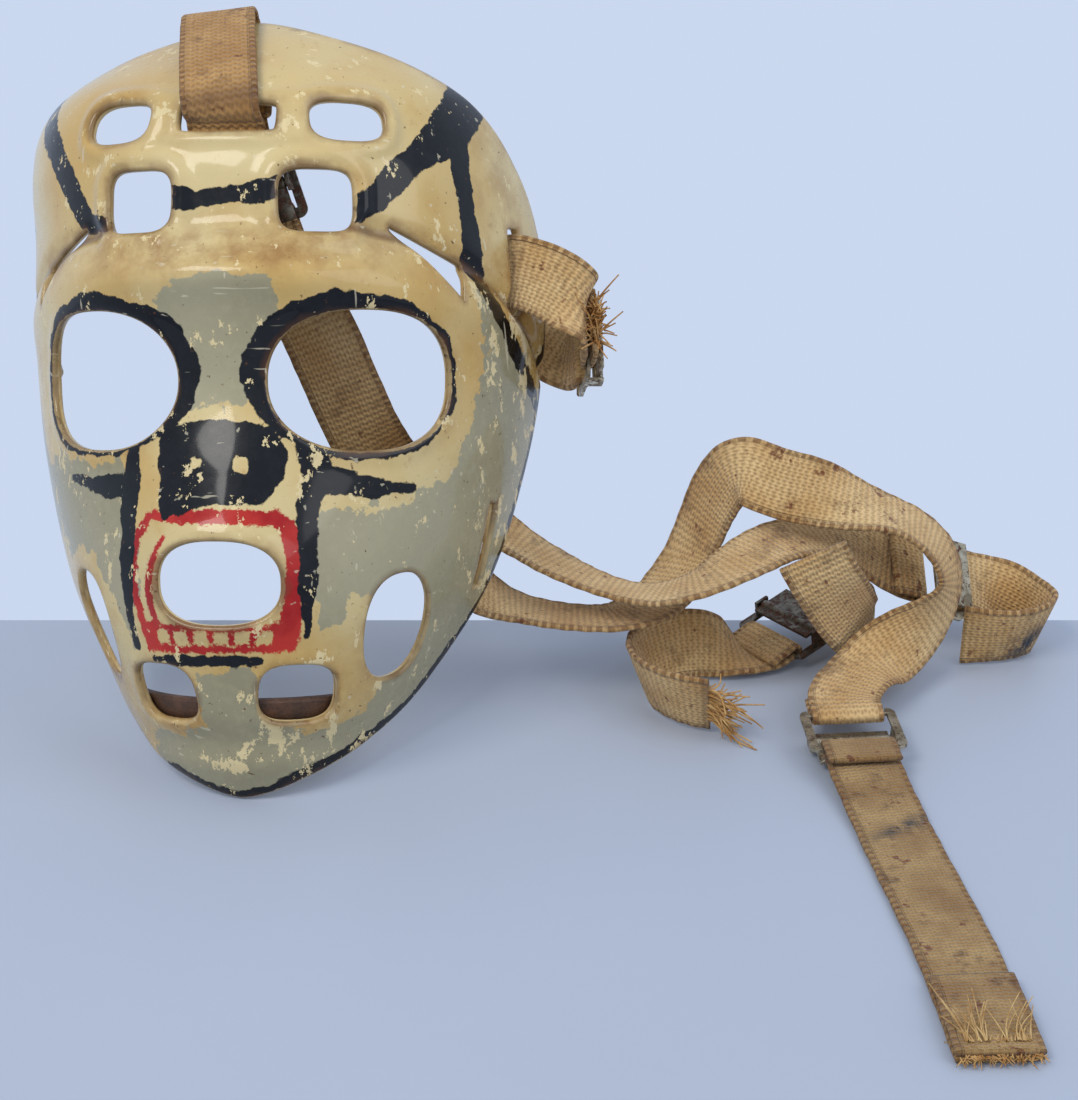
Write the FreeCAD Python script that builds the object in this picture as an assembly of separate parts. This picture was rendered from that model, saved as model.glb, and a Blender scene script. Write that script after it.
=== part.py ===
import FreeCAD, Part
import math
import os

# A moulded face mask for a hockey goalkeeper with its webbing harness.
# Units are millimetres.  Three frames are used:
#   mask frame   x across the face, y backwards, z up from the chin tip
#   table frame  +Z up, the mask leans back and its chin edge and straps rest on z = 0
#   part frame   the table frame moved so that the head mount is the origin

V = FreeCAD.Vector

# shell
SHELL_THICKNESS = 3.0
MASK_HEIGHT = 257.0
REAR_EDGE_DROP = 74.0       # crown edge falls this far from the front to the rear edge
REAR_EDGE_LOW = 140.0       # height at which the jaw edge meets the rear edge
REAR_FLARE = 3.0            # outward flare of the rear edge
# height above the chin tip, half width, front depth
STATIONS = [
    (0, 46, 72), (15, 51, 83), (38, 61, 92), (68, 74, 99), (108, 83.5, 97), (135, 87, 94),
    (165, 87, 98), (188, 86, 91), (208, 83, 89), (230, 75, 80), (245, 60, 62), (257, 47, 43),
]
FLARE_START = 0.6           # share of the half turn at which the flare starts
# share and power of the slow rise, power of the fast rise, of the two rims towards the rear
JAW_CURVE = (0.3, 1.5, 8)
CROWN_CURVE = (0.35, 1.4, 6)
NORMAL_STEP = 0.5
# bulges and hollows: height, place across and its reach, height above the chin tip and its reach
BROW = (5.5, 0, 62, 171, 9)
BROW_ARCH = 10.0            # the brow ridge falls this far at the reach below
BROW_ARCH_REACH = 70.0
SOCKET = (-5.0, 42, 20, 139, 18)
MUZZLE = (6.0, 0, 27, 80, 34)
CHIN_GROOVE = (-2.0, 0, 40, 20, 6)
CROWN_SPREAD = (8.0, -92, 42, 226, 30)
GRID_ACROSS = 40
GRID_UP = 48
EDGE_SPARE = 6.0            # how far the plain form runs past the rims before they are cut
RIM_POINTS = 12
BLOCK_REACH = 130.0

# how the mask rests
MASK_YAW = 7.0
MASK_LEAN = 21.5
MASK_SHIFT = V(8.5, 70.0, -26.2)
HEAD_CENTRE = V(0, -20, 145)

# openings: name, angle from the nose, height, half width, half height, corner exponent, tilt, both sides
HOLES = [
    ("eye", 30.0, 136.5, 30.5, 22.0, 2.4, 0.0, True),
    ("mouth", 0.0, 73.0, 20.0, 13.5, 2.5, 0.0, False),
    ("cheek", 47.0, 57.0, 14.2, 17.6, 2.3, 8.0, True),
    ("chin", 21.0, 36.7, 12.6, 9.6, 3.0, 0.0, True),
    ("square", 19.5, 193.0, 11.8, 9.8, 4.0, 0.0, True),
    ("oval", 27.5, 219.0, 12.2, 6.6, 2.8, 0.0, True),
    ("crown_slot", 0.0, 219.5, 15.5, 4.4, 6.0, 0.0, False),
    ("temple_slot", 74.0, 174.0, 3.8, 14.8, 5.0, 0.0, True),
    ("jaw_slot", 71.5, 81.5, 2.4, 14.0, 5.0, 0.0, True),
]
VENT = [(36.0, 185.5), (55.5, 175.0), (54.5, 163.0)]    # angle, height of the vent corners
OUTLINE_POINTS = 20
CUT_LENGTH = 40.0

# chin pad
PAD_LOW = 24.0
PAD_HIGH = 33.0
PAD_ANGLE = 44.0
PAD_GAP = 0.4
PAD_THICKNESS = 3.0
PAD_STEPS_ACROSS = 16
PAD_STEPS_UP = 4

# webbing
WEB_WIDTH = 25.0
WEB_THICKNESS = 2.0
ARC_SHARE = 0.45
ARC_STEP = 18.0
ARC_LEAST = 2

# buckle, in its own frame: x along the webbing towards the toothed end, z out of the plate
PLATE_LENGTH = 24.0
PLATE_WIDTH = 33.0
PLATE_THICKNESS = 1.2
WINDOW_LENGTH = 17.0
WINDOW_WIDTH = 27.0
EAR_THICKNESS = 1.2
EAR_GAP = 0.3
EAR_LENGTH = 6.0
EAR_HEIGHT = 6.4
PIN_RADIUS = 0.9
PIN_HEIGHT = 4.7
PIN_CLEARANCE = 0.05
LEVER_WIDTH = 26.4
LEVER_THICKNESS = 1.2
LEVER_FRONT = 12.0
LEVER_REAR = 5.0
KNUCKLE_RADIUS = 1.9
TOOTH_COUNT = 9
TOOTH_HEIGHT = 0.6
TOOTH_LENGTH = 1.6
WEB_LIFT = 1.9              # centre of the webbing above or below the centre of a bar
FOLD_X = 7.1                # where the webbing turns round a bar
ROD_RADIUS = 0.8            # round rear bar that the sewn webbing turns on
ROD_X = 9.3
TAIL_X = 24.0               # usual reach of the webbing behind the sewn fold
FLAP_STEP = 7.0             # the sewn end lies back in two steps, each this long
FLAP_LIFT = 1.8
FLAP_END_LIFT = 0.9
SHORT_END_X = 20.0          # where the threaded short end stops
SHORT_END_LIFT = 1.4
LEAVING_X = 18.0            # where the threaded webbing is clear of the buckle
PLATE_CORNER = 3.0
UPRIGHT = 0.9               # an edge this close to the plate's thickness is a corner
REAR_NOTCH = 0.5            # how far the rear bar is opened past the plate for the rod
CUTTER_DEPTH = 3.0          # cutters of the plate, in plate thicknesses
TOOTH_ROOT = 0.1            # how far a tooth starts within the blade
TOOTH_SHARE = 0.4           # half width of a tooth, in tooth pitches

# hem and loose threads
HEM_LENGTH = 34.0
HEM_GAP = 0.3
HEM_BOW = 0.3               # sideways bow of the hem at its middle
FRAY_LENGTH = 11.0
FRAY_GAP = 1.5
FRAY_SHARE = 0.55           # width of a tuft, in webbing widths
FRAYS = [("fray_loose_end", "loose_strap", True), ("fray_temple_end", "temple_strap_right", True)]


def smooth(column, z):
    """Smooth value of a column of STATIONS at height z."""
    rows = [(row[0], row[column]) for row in STATIONS]
    last = len(rows) - 1
    z = min(max(z, rows[0][0]), rows[last][0])
    k = max(i for i in range(last) if rows[i][0] <= z)

    def slope(i):
        low, high = max(i - 1, 0), min(i + 1, last)
        return (rows[high][1] - rows[low][1]) / (rows[high][0] - rows[low][0])

    h = rows[k + 1][0] - rows[k][0]
    t = (z - rows[k][0]) / h
    value = (2 * t**3 - 3 * t * t + 1) * rows[k][1] + (3 * t * t - 2 * t**3) * rows[k + 1][1]
    return value + (t**3 - 2 * t * t + t) * h * slope(k) + (t**3 - t * t) * h * slope(k + 1)


def bell(value, centre, width):
    return math.exp(-((value - centre) / width) ** 2)


def swell(bulge, x, z):
    """Height of one rounded bulge or hollow at a place on the face."""
    height, centre_x, reach_x, centre_z, reach_z = bulge
    return height * bell(x, centre_x, reach_x) * bell(z, centre_z, reach_z)


def relief(x, z):
    """How far the face stands out of, or sinks into, the plain shell form."""
    total = swell(BROW, x, z + BROW_ARCH * (x / BROW_ARCH_REACH) ** 2)
    total += swell(SOCKET, abs(x), z)
    for bulge in (MUZZLE, CHIN_GROOVE, CROWN_SPREAD):
        total += swell(bulge, x, z)
    return total


def surface(angle, z, inwards=0.0):
    """Point of the shell at an angle from the nose and a height, moved inwards."""
    turn = math.radians(angle)
    rear = max(0.0, (abs(angle) / 90 - FLARE_START) / (1 - FLARE_START))
    x = smooth(1, z) * math.sin(turn) + math.copysign(REAR_FLARE * rear * rear, angle)
    y = -smooth(2, z) * math.cos(turn)
    out = V(math.sin(turn), -math.cos(turn), 0)
    point = V(x, y, z) + out * relief(x, z)
    if inwards:
        point = point - surface_normal(angle, z) * inwards
    return point


def surface_normal(angle, z):
    """Outward unit normal of the shell."""
    across = surface(angle + NORMAL_STEP, z) - surface(angle - NORMAL_STEP, z)
    up = surface(angle, z + NORMAL_STEP) - surface(angle, z - NORMAL_STEP)
    normal = across.cross(up)
    normal.normalize()
    return normal


def jaw_edge(angle):
    q = abs(angle) / 90
    slow, slow_power, fast_power = JAW_CURVE
    return REAR_EDGE_LOW * (slow * q**slow_power + (1 - slow) * q**fast_power)


def crown_edge(angle):
    q = abs(angle) / 90
    slow, slow_power, fast_power = CROWN_CURVE
    return MASK_HEIGHT - REAR_EDGE_DROP * (slow * q**slow_power + (1 - slow) * q**fast_power)


def patch(angles, heights, depth):
    """Smooth face over a stretch of the shell at a depth below its outer side."""
    sheet = Part.BSplineSurface()
    sheet.interpolate([[surface(angle, z, depth) for z in heights] for angle in angles])
    return sheet.toShape()


def steps(low, high, count):
    return [low + (high - low) * step / count for step in range(count + 1)]


def shell_piece(angles, heights, outer_depth, inner_depth):
    """Closed solid between two depths below the outer side of the shell."""
    outer = patch(angles, heights, outer_depth)
    inner = patch(angles, heights, inner_depth)
    walls = [Part.makeRuledSurface(one, two) for one, two in zip(outer.Edges, inner.Edges)]
    skin = Part.makeShell([outer.Faces[0], inner.Faces[0]] + walls)
    skin.sewShape()
    solid = Part.makeSolid(skin)
    if solid.Volume < 0:
        solid.reverse()
    return solid


def rim_cutter(edge, beyond):
    """Block beyond a rim, whose side view follows the rim from the front to the rear edge."""
    rim = []
    for angle in steps(0.0, 90.0, RIM_POINTS):
        point = surface(angle, edge(angle))
        rim.append(V(-BLOCK_REACH, point.y, point.z))
    curve = Part.BSplineCurve()
    curve.interpolate(rim)
    corners = [V(-BLOCK_REACH, BLOCK_REACH, rim[-1].z), V(-BLOCK_REACH, BLOCK_REACH, beyond)]
    corners += [V(-BLOCK_REACH, -BLOCK_REACH, beyond), V(-BLOCK_REACH, -BLOCK_REACH, rim[0].z)]
    line = Part.makePolygon([rim[-1]] + corners + [rim[0]])
    face = Part.Face(Part.Wire([curve.toShape()] + line.Edges))
    return face.extrude(V(2 * BLOCK_REACH, 0, 0))


def prism(outline, direction):
    """Cutter along a direction through a closed smooth outline."""
    curve = Part.BSplineCurve()
    curve.interpolate(Points=outline, PeriodicFlag=True)
    face = Part.Face(Part.Wire([curve.toShape()]))
    return face.extrude(direction * CUT_LENGTH)


def hole_cutter(angle, z, half_width, half_height, power, tilt):
    """Cutter of a rounded opening, square to the plan of the shell at its centre."""
    turn = math.radians(angle)
    out = V(math.sin(turn), -math.cos(turn), 0)
    across = V(math.cos(turn), math.sin(turn), 0)
    centre = surface(angle, z) - out * (CUT_LENGTH / 2)
    lean = math.radians(tilt) * (1 if angle >= 0 else -1)
    outline = []
    for step in range(OUTLINE_POINTS):
        t = 2 * math.pi * step / OUTLINE_POINTS
        s = half_width * math.copysign(abs(math.cos(t)) ** (2 / power), math.cos(t))
        h = half_height * math.copysign(abs(math.sin(t)) ** (2 / power), math.sin(t))
        s, h = s * math.cos(lean) - h * math.sin(lean), s * math.sin(lean) + h * math.cos(lean)
        outline.append(centre + across * s + V(0, 0, h))
    return prism(outline, out)


def vent_cutter(side):
    """Cutter of the three-cornered vent beside the brow."""
    middle = sum(corner[0] for corner in VENT) / len(VENT) * side
    turn = math.radians(middle)
    out = V(math.sin(turn), -math.cos(turn), 0)
    corners = [surface(side * angle, z) for angle, z in VENT]
    level = corners[0].dot(out)
    flat = [point - out * (point.dot(out) - level + CUT_LENGTH / 2) for point in corners]
    return Part.Face(Part.makePolygon(flat + flat[:1])).extrude(out * CUT_LENGTH)


def mask_shell():
    heights = steps(-EDGE_SPARE, MASK_HEIGHT + EDGE_SPARE, GRID_UP)
    shell = shell_piece(steps(-90.0, 90.0, GRID_ACROSS), heights, 0.0, SHELL_THICKNESS)
    cutters = [rim_cutter(jaw_edge, -BLOCK_REACH), rim_cutter(crown_edge, MASK_HEIGHT + BLOCK_REACH)]
    for _, angle, z, half_width, half_height, power, tilt, paired in HOLES:
        sides = (1, -1) if paired else (1,)
        cutters += [hole_cutter(side * angle, z, half_width, half_height, power, tilt) for side in sides]
    cutters += [vent_cutter(side) for side in (1, -1)]
    return shell.cut(cutters)


def chin_pad():
    near = SHELL_THICKNESS + PAD_GAP
    angles = steps(-PAD_ANGLE, PAD_ANGLE, PAD_STEPS_ACROSS)
    heights = steps(PAD_LOW, PAD_HIGH, PAD_STEPS_UP)
    return shell_piece(angles, heights, near, near + PAD_THICKNESS)


def mask_placement():
    """Mask frame to table frame: turned a little, leaned back, chin edge on the table."""
    yaw = FreeCAD.Rotation(V(0, 0, 1), -MASK_YAW)
    lean = FreeCAD.Rotation(V(1, 0, 0), -MASK_LEAN)
    return FreeCAD.Placement(MASK_SHIFT, lean * yaw)


MASK = mask_placement()
ORIGIN = MASK.multVec(HEAD_CENTRE)


def on_mask(x, y, z):
    return MASK.multVec(V(x, y, z))


def along_mask(x, y, z):
    return MASK.Rotation.multVec(V(x, y, z))


def frame_at(origin, along, normal):
    """Placement with its x axis along one direction and its z axis near another."""
    x = V(along)
    x.normalize()
    y = V(normal).cross(x)
    y.normalize()
    z = x.cross(y)
    matrix = FreeCAD.Matrix(x.x, y.x, z.x, origin.x, x.y, y.y, z.y, origin.y, x.z, y.z, z.z, origin.z)
    return FreeCAD.Placement(matrix)


# buckle places in the table frame
BUCKLES = {
    "crown": frame_at(on_mask(5, -76, 196), along_mask(0.30, 0.12, -0.95), along_mask(0, -1, -0.12)),
    "temple": frame_at(on_mask(104.5, -2, 151), along_mask(0.22, -0.92, 0.32), along_mask(0.97, 0.24, 0)),
    "tail": frame_at(V(203, 33, 9), V(0.08, -0.985, -0.06), V(0, 0.06, -1)),
    "knot": frame_at(V(190, 109, 9), V(0.75, 0.62, 0.20), V(-0.25, -0.25, 0.93)),
    "side": frame_at(V(243, 113, 29), V(0.85, 0.35, -0.40), V(0.2, -0.62, 0.75)),
}


def fold_points(buckle, local, side):
    """Route points round a bar, each with the direction across the webbing."""
    place = BUCKLES[buckle]
    across = place.Rotation.multVec(V(0, side, 0))
    return [(place.multVec(V(x, 0, z)), across) for x, z in local]


def sewn_fold(buckle, reach=TAIL_X, side=1):
    """Webbing that arrives below the rear bar, turns round it and is sewn back on itself."""
    turn = [(-reach, -WEB_LIFT), (-FOLD_X, -WEB_LIFT), (-FOLD_X, WEB_LIFT)]
    sewn = [(-FOLD_X - FLAP_STEP, FLAP_LIFT), (-FOLD_X - 2 * FLAP_STEP, FLAP_END_LIFT)]
    return fold_points(buckle, turn + sewn, side)


def threaded_fold(buckle, leaves=1, side=1):
    """Webbing whose short end lies on one side of the front bar and which leaves on the other."""
    turn = [(SHORT_END_X, -SHORT_END_LIFT), (FOLD_X, -WEB_LIFT), (FOLD_X, WEB_LIFT), (LEAVING_X, WEB_LIFT)]
    return fold_points(buckle, [(x, z * leaves) for x, z in turn], side)


def table(points):
    """Route points in the table frame: x, y, z, then the direction across the webbing."""
    return [(V(*row[:3]), V(*row[3:])) for row in points]


def masked(points):
    """Route points in the mask frame: x, y, z, then the direction across the webbing."""
    return [(on_mask(*row[:3]), along_mask(*row[3:])) for row in points]


def wall_run(angle, heights, depth):
    """Route points down the inside of the shell."""
    turn = math.radians(angle)
    across = along_mask(math.cos(turn), math.sin(turn), 0)
    return [(MASK.multVec(surface(angle, z, depth)), across) for z in heights]


ROUTES = {
    "crown_strap": masked([
        (-1, -80.5, 203, 1, 0, 0), (-1, -80.5, 217.0, 1, 0, 0), (-1, -89.4, 220.6, 1, 0, 0),
        (-3.5, -82.4, 232.8, 1, 0, 0), (-9, -62.8, 249.3, 1, 0, 0.05), (-13.5, -45.5, 261.4, 1, 0, 0.1),
        (-14, -34.8, 256.5, 1, 0, 0.1), (-8, -53.0, 238.0, 1, 0, 0.05), (-1, -70.5, 221.0, 1, 0, 0),
    ]) + sewn_fold("crown"),
    "crown_tail_strap": threaded_fold("crown") + table([
        (24, 60, 146, 1, 0, 0.6), (32, 64, 121, 1, 0, 0.5), (40, 70, 97, 0.9, 0.1, 0.5),
        (52, 81, 75, 0.6, 0.3, 0.75), (66, 97, 69, 0.25, 0.75, 0.5), (89, 95, 50.5, 0, 1, 0.05),
        (110, 82, 43.5, 0.05, 1, -0.1), (132, 76, 38, 0, 1, -0.2), (150, 71, 44, -0.1, 1, -0.15),
        (165, 76, 50.5, -0.4, 0.9, 0), (182, 92, 53, -0.5, 0.85, 0.1), (198, 102, 50, -0.4, 0.9, 0.2),
        (211, 106, 45, -0.1, 0.85, 0.5),
    ]) + sewn_fold("side", 18),
    "jaw_strap": table([
        (68.5, 67, 62, 0, 0.37, 0.93), (70.5, 75, 46, 0.1, 0.7, 0.5), (86, 79, 33, 0, 1, -0.05),
        (106, 77, 29.5, 0, 1, -0.12), (127, 77, 29, -0.05, 1, -0.1), (141, 94, 28.5, -0.3, 0.95, 0),
        (150, 111, 34, -0.5, 0.8, 0.1), (155.5, 114, 47, -0.6, 0.8, 0), (160, 112, 62, -0.6, 0.8, 0.1),
        (167, 105, 76, -0.35, 0.65, 0.4), (181, 98, 72, 0, 0.45, 0.9), (195, 95, 70, 0.05, 0.55, 0.8),
        (208, 94, 66, 0.1, 0.85, 0.4), (221, 93, 63, 0.15, 0.97, 0.1), (233, 92, 57, 0.3, 0.93, 0.05),
        (242, 90, 47, 0.45, 0.85, -0.1), (244, 86, 36, 0.45, 0.8, -0.4), (236, 81, 26, 0.6, 0.4, -0.6),
        (223, 75, 18.5, 0.6, -0.2, -0.7), (211, 67, 14.5, 0.7, -0.7, 0),
    ]) + sewn_fold("tail", 20, -1),
    "tail_strap": threaded_fold("tail", 1, -1) + table([
        (208, -5, 2.2, 1, 0.15, 0), (211, -28, 1.3, 1, 0.15, 0), (215, -58, 1.3, 1, 0.12, 0),
        (219, -90, 1.3, 1, 0.08, 0), (221, -131, 1.3, 1, 0.04, 0),
    ]),
    "loose_strap": table([
        (155, 43.5, 13.2, 0.05, -0.35, 0.94), (148, 45, 13.2, -0.1, -0.35, 0.94),
        (137, 53, 13.2, -0.3, -0.25, 0.94),
        (131, 65, 13.2, -0.38, 0, 0.94), (134, 79, 13.2, -0.3, 0.2, 0.94), (145, 88, 13.2, -0.2, 0.35, 0.94),
        (158, 93, 11.4, -0.3, 0.45, 0.86),
    ]) + sewn_fold("knot", 20),
    "knot_strap": threaded_fold("knot") + table([
        (213, 123, 15, -0.2, 0.3, 0.9), (218, 116, 13.6, 0, 0, 1), (220, 105, 13.6, 0, 0, 1),
        (216, 96, 13.6, 0, 0, 1), (212, 87, 20, 0.35, 0.2, 0.9), (205, 79, 31, 0.7, 0.2, 0.6),
        (200, 73, 41, 0.9, 0.1, 0.4), (195, 70, 49, 0.93, 0, 0.35), (191, 70, 57, 0.93, 0, 0.35),
    ]),
    "side_strap": threaded_fold("side") + table([
        (271, 122, 17, 0, 0.3, 0.95), (281, 116, 13.5, 0.2, 0.1, 0.95), (284, 105, 13.2, 0.35, 0, 0.94),
        (275, 96, 13.2, 0.2, -0.3, 0.94), (262, 93.5, 13.2, 0, -0.3, 0.95),
        (251, 95.5, 13.2, 0, -0.12, 0.99),
    ]),
    "temple_strap_right": threaded_fold("temple", -1) + masked([
        (107, -28, 163, 0, 0, -1), (95, -29.4, 171.5, 0, 0, -1), (79, -24.4, 176, 0, 0, -1),
        (77.5, -10, 169, 0, 0, -1), (80, 5, 161, 0, 0, -1), (87, 14, 153.5, 0, 0, -1),
        (95, 17, 148, 0, 0, -1),
    ]) + sewn_fold("temple", 14),
    "temple_strap_left": wall_run(-69, (169, 151, 132, 112), 5.8),
}


def rounded(route):
    """Centre line of a route with tangent arcs at its points: position, direction, across."""
    arcs = []
    for before, here, after in zip(route, route[1:], route[2:]):
        one, two = here[0] - before[0], after[0] - here[0]
        turn = one.getAngle(two)
        reach = ARC_SHARE * min(one.Length, two.Length)
        arcs.append((reach, turn, reach / math.tan(turn / 2)))
    samples = [(route[0][0], route[0][1])]
    for (reach, turn, radius), before, here, after in zip(arcs, route, route[1:], route[2:]):
        one, two = before[0] - here[0], after[0] - here[0]
        one.normalize()
        two.normalize()
        start, end = here[0] + one * reach, here[0] + two * reach
        middle = one + two
        middle.normalize()
        centre = here[0] + middle * (radius / math.cos(turn / 2))
        count = max(ARC_LEAST, math.ceil(math.degrees(turn) / ARC_STEP))
        first, last = start - centre, end - centre
        for share in steps(0.0, 1.0, count):
            ray = first * math.sin((1 - share) * turn) + last * math.sin(share * turn)
            across = before[1] * ((1 - share) / 2) + here[1] + after[1] * (share / 2)
            samples.append((centre + ray / math.sin(turn), across))
    samples.append((route[-1][0], route[-1][1]))
    return samples, [radius for _, _, radius in arcs]


def webbing(route, width=WEB_WIDTH, thickness=WEB_THICKNESS):
    """Flat webbing along a route, as a closed solid of plane faces."""
    samples, radii = rounded(route)
    rings = []
    for index, (point, across) in enumerate(samples):
        along = samples[min(index + 1, len(samples) - 1)][0] - samples[max(index - 1, 0)][0]
        along.normalize()
        side = across - along * across.dot(along)
        side.normalize()
        up = along.cross(side) * (thickness / 2)
        side = side * (width / 2)
        rings.append([point + side + up, point - side + up, point - side - up, point + side - up])
    faces = [Part.Face(Part.makePolygon(ring + ring[:1])) for ring in (rings[0], rings[-1])]
    for one, two in zip(rings, rings[1:]):
        for k in range(4):
            m = (k + 1) % 4
            for corners in ((one[k], one[m], two[m]), (one[k], two[m], two[k])):
                faces.append(Part.Face(Part.makePolygon(list(corners) + [corners[0]])))
    skin = Part.makeShell(faces)
    skin.sewShape()
    solid = Part.makeSolid(skin)
    if solid.Volume < 0:
        solid.reverse()
    length = sum((b[0] - a[0]).Length for a, b in zip(samples, samples[1:]))
    return solid, length, radii


def plate_frame():
    """Buckle frame: a plate with one window and two pin ears."""
    plate = Part.makeBox(
        PLATE_LENGTH, PLATE_WIDTH, PLATE_THICKNESS,
        V(-PLATE_LENGTH / 2, -PLATE_WIDTH / 2, -PLATE_THICKNESS / 2),
    )
    corners = [edge for edge in plate.Edges if abs(edge.tangentAt(0).z) > UPRIGHT]
    plate = plate.makeFillet(PLATE_CORNER, corners)
    window = Part.makeBox(
        WINDOW_LENGTH, WINDOW_WIDTH, PLATE_THICKNESS * CUTTER_DEPTH,
        V(-WINDOW_LENGTH / 2, -WINDOW_WIDTH / 2, -PLATE_THICKNESS * CUTTER_DEPTH / 2),
    )
    rear = Part.makeBox(
        PLATE_LENGTH / 2, WINDOW_WIDTH, PLATE_THICKNESS * CUTTER_DEPTH,
        V(-PLATE_LENGTH / 2 - REAR_NOTCH, -WINDOW_WIDTH / 2, -PLATE_THICKNESS * CUTTER_DEPTH / 2),
    )
    rod_y = WINDOW_WIDTH / 2 + EAR_THICKNESS
    rod = Part.makeCylinder(ROD_RADIUS, 2 * rod_y, V(-ROD_X, -rod_y, 0), V(0, 1, 0))
    plate = plate.cut([window, rear]).fuse(rod)
    ear_y = WINDOW_WIDTH / 2 + EAR_GAP
    for side in (1, -1):
        low = ear_y if side > 0 else -ear_y - EAR_THICKNESS
        ear = Part.makeBox(EAR_LENGTH, EAR_THICKNESS, EAR_HEIGHT, V(-EAR_LENGTH / 2, low, 0))
        plate = plate.fuse(ear)
    hole = Part.makeCylinder(PIN_RADIUS, PLATE_WIDTH, V(0, -PLATE_WIDTH / 2, PIN_HEIGHT), V(0, 1, 0))
    return plate.removeSplitter().cut(hole)


def hinge_pin():
    ear_y = WINDOW_WIDTH / 2 + EAR_GAP + EAR_THICKNESS
    return Part.makeCylinder(PIN_RADIUS, 2 * ear_y, V(0, -ear_y, PIN_HEIGHT), V(0, 1, 0))


def toothed_lever():
    """Lever that turns on the pin and bites the webbing with its front teeth."""
    low = -LEVER_WIDTH / 2
    bottom = PIN_HEIGHT - LEVER_THICKNESS / 2
    blade = Part.makeBox(LEVER_REAR + LEVER_FRONT, LEVER_WIDTH, LEVER_THICKNESS, V(-LEVER_REAR, low, bottom))
    knuckle = Part.makeCylinder(KNUCKLE_RADIUS, LEVER_WIDTH, V(0, low, PIN_HEIGHT), V(0, 1, 0))
    lever = blade.fuse(knuckle)
    pitch = LEVER_WIDTH / TOOTH_COUNT
    for tooth in range(TOOTH_COUNT):
        centre = low + pitch * (tooth + 0.5)
        front = LEVER_FRONT - TOOTH_LENGTH
        reach = pitch * TOOTH_SHARE
        root = bottom + TOOTH_ROOT
        points = [V(front, centre - reach, root), V(front, centre + reach, root)]
        points.append(V(front, centre, bottom - TOOTH_HEIGHT))
        lever = lever.fuse(Part.Face(Part.makePolygon(points + points[:1])).extrude(V(TOOTH_LENGTH, 0, 0)))
    start = V(0, -PLATE_WIDTH / 2, PIN_HEIGHT)
    bore = Part.makeCylinder(PIN_RADIUS + PIN_CLEARANCE, PLATE_WIDTH, start, V(0, 1, 0))
    return lever.removeSplitter().cut(bore)


def fray(place, length, width, thickness):
    """Short plain block for a tuft of loose threads."""
    block = Part.makeBox(length, width, thickness, V(0, -width / 2, -thickness / 2))
    block.Placement = place
    return block


def save(name, shape):
    shape = shape.copy()
    shape.translate(-ORIGIN)
    shape.exportStep("parts/" + name + ".step")
    print(name, "valid", shape.isValid(), "volume", round(shape.Volume, 1))




def tail_hem():
    """Turned and sewn hem on the far end of the tail strap."""
    far, across = ROUTES["tail_strap"][-1]
    near = ROUTES["tail_strap"][-2][0]
    back = near - far
    back.normalize()
    lift = V(0, 0, WEB_THICKNESS + HEM_GAP)
    return webbing([(far + lift, across), (far + back * (HEM_LENGTH / 2) + lift + V(HEM_BOW, 0, 0), across),
                    (far + back * HEM_LENGTH + lift, across)])[0]


def main():
    os.makedirs("parts", exist_ok=True)
    save("mask_shell", moved(mask_shell()))
    save("chin_pad", moved(chin_pad()))
    for name, route in ROUTES.items():
        solid, length, radii = webbing(route)
        save(name, solid)
        print("  length", round(length, 1), "section x length", round(length * WEB_WIDTH * WEB_THICKNESS, 1),
              "radii", [round(radius, 1) for radius in radii])
    save("tail_hem", tail_hem())
    pieces = {"buckle_frame": plate_frame(), "buckle_lever": toothed_lever(), "buckle_pin": hinge_pin()}
    for buckle, place in BUCKLES.items():
        for piece, shape in pieces.items():
            copy = shape.copy()
            copy.Placement = place
            save(piece + "_" + buckle, copy)
    for name, route_name, at_start in FRAYS:
        save(name, strap_end_fray(ROUTES[route_name], at_start))


def moved(shape):
    """Shape of the mask frame, placed in the table frame."""
    copy = shape.copy()
    copy.transformShape(MASK.Matrix)
    return copy


def strap_end_fray(route, at_start):
    """Tuft of loose threads at one end of a strap."""
    end, across = route[0] if at_start else route[-1]
    inner = route[1][0] if at_start else route[-2][0]
    out = end - inner
    out.normalize()
    place = frame_at(end + out * FRAY_GAP, out, out.cross(across))
    return fray(place, FRAY_LENGTH, WEB_WIDTH * FRAY_SHARE, WEB_THICKNESS)


main()
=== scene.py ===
import math
import random

import bmesh
import bpy
import numpy as np
from mathutils import Matrix, Vector


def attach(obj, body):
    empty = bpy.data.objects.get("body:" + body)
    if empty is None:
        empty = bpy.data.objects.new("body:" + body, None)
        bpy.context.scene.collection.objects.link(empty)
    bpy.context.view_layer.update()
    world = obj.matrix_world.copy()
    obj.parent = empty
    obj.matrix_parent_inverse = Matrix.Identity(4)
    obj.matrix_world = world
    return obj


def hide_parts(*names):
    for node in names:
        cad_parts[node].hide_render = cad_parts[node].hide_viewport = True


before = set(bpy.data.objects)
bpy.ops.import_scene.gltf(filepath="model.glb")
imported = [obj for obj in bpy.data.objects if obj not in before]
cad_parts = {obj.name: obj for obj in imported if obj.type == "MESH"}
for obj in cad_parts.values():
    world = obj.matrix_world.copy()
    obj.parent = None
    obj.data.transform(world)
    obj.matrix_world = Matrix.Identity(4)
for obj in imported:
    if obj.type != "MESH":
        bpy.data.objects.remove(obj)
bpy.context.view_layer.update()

MM = 0.001
rng = random.Random(11)

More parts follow.
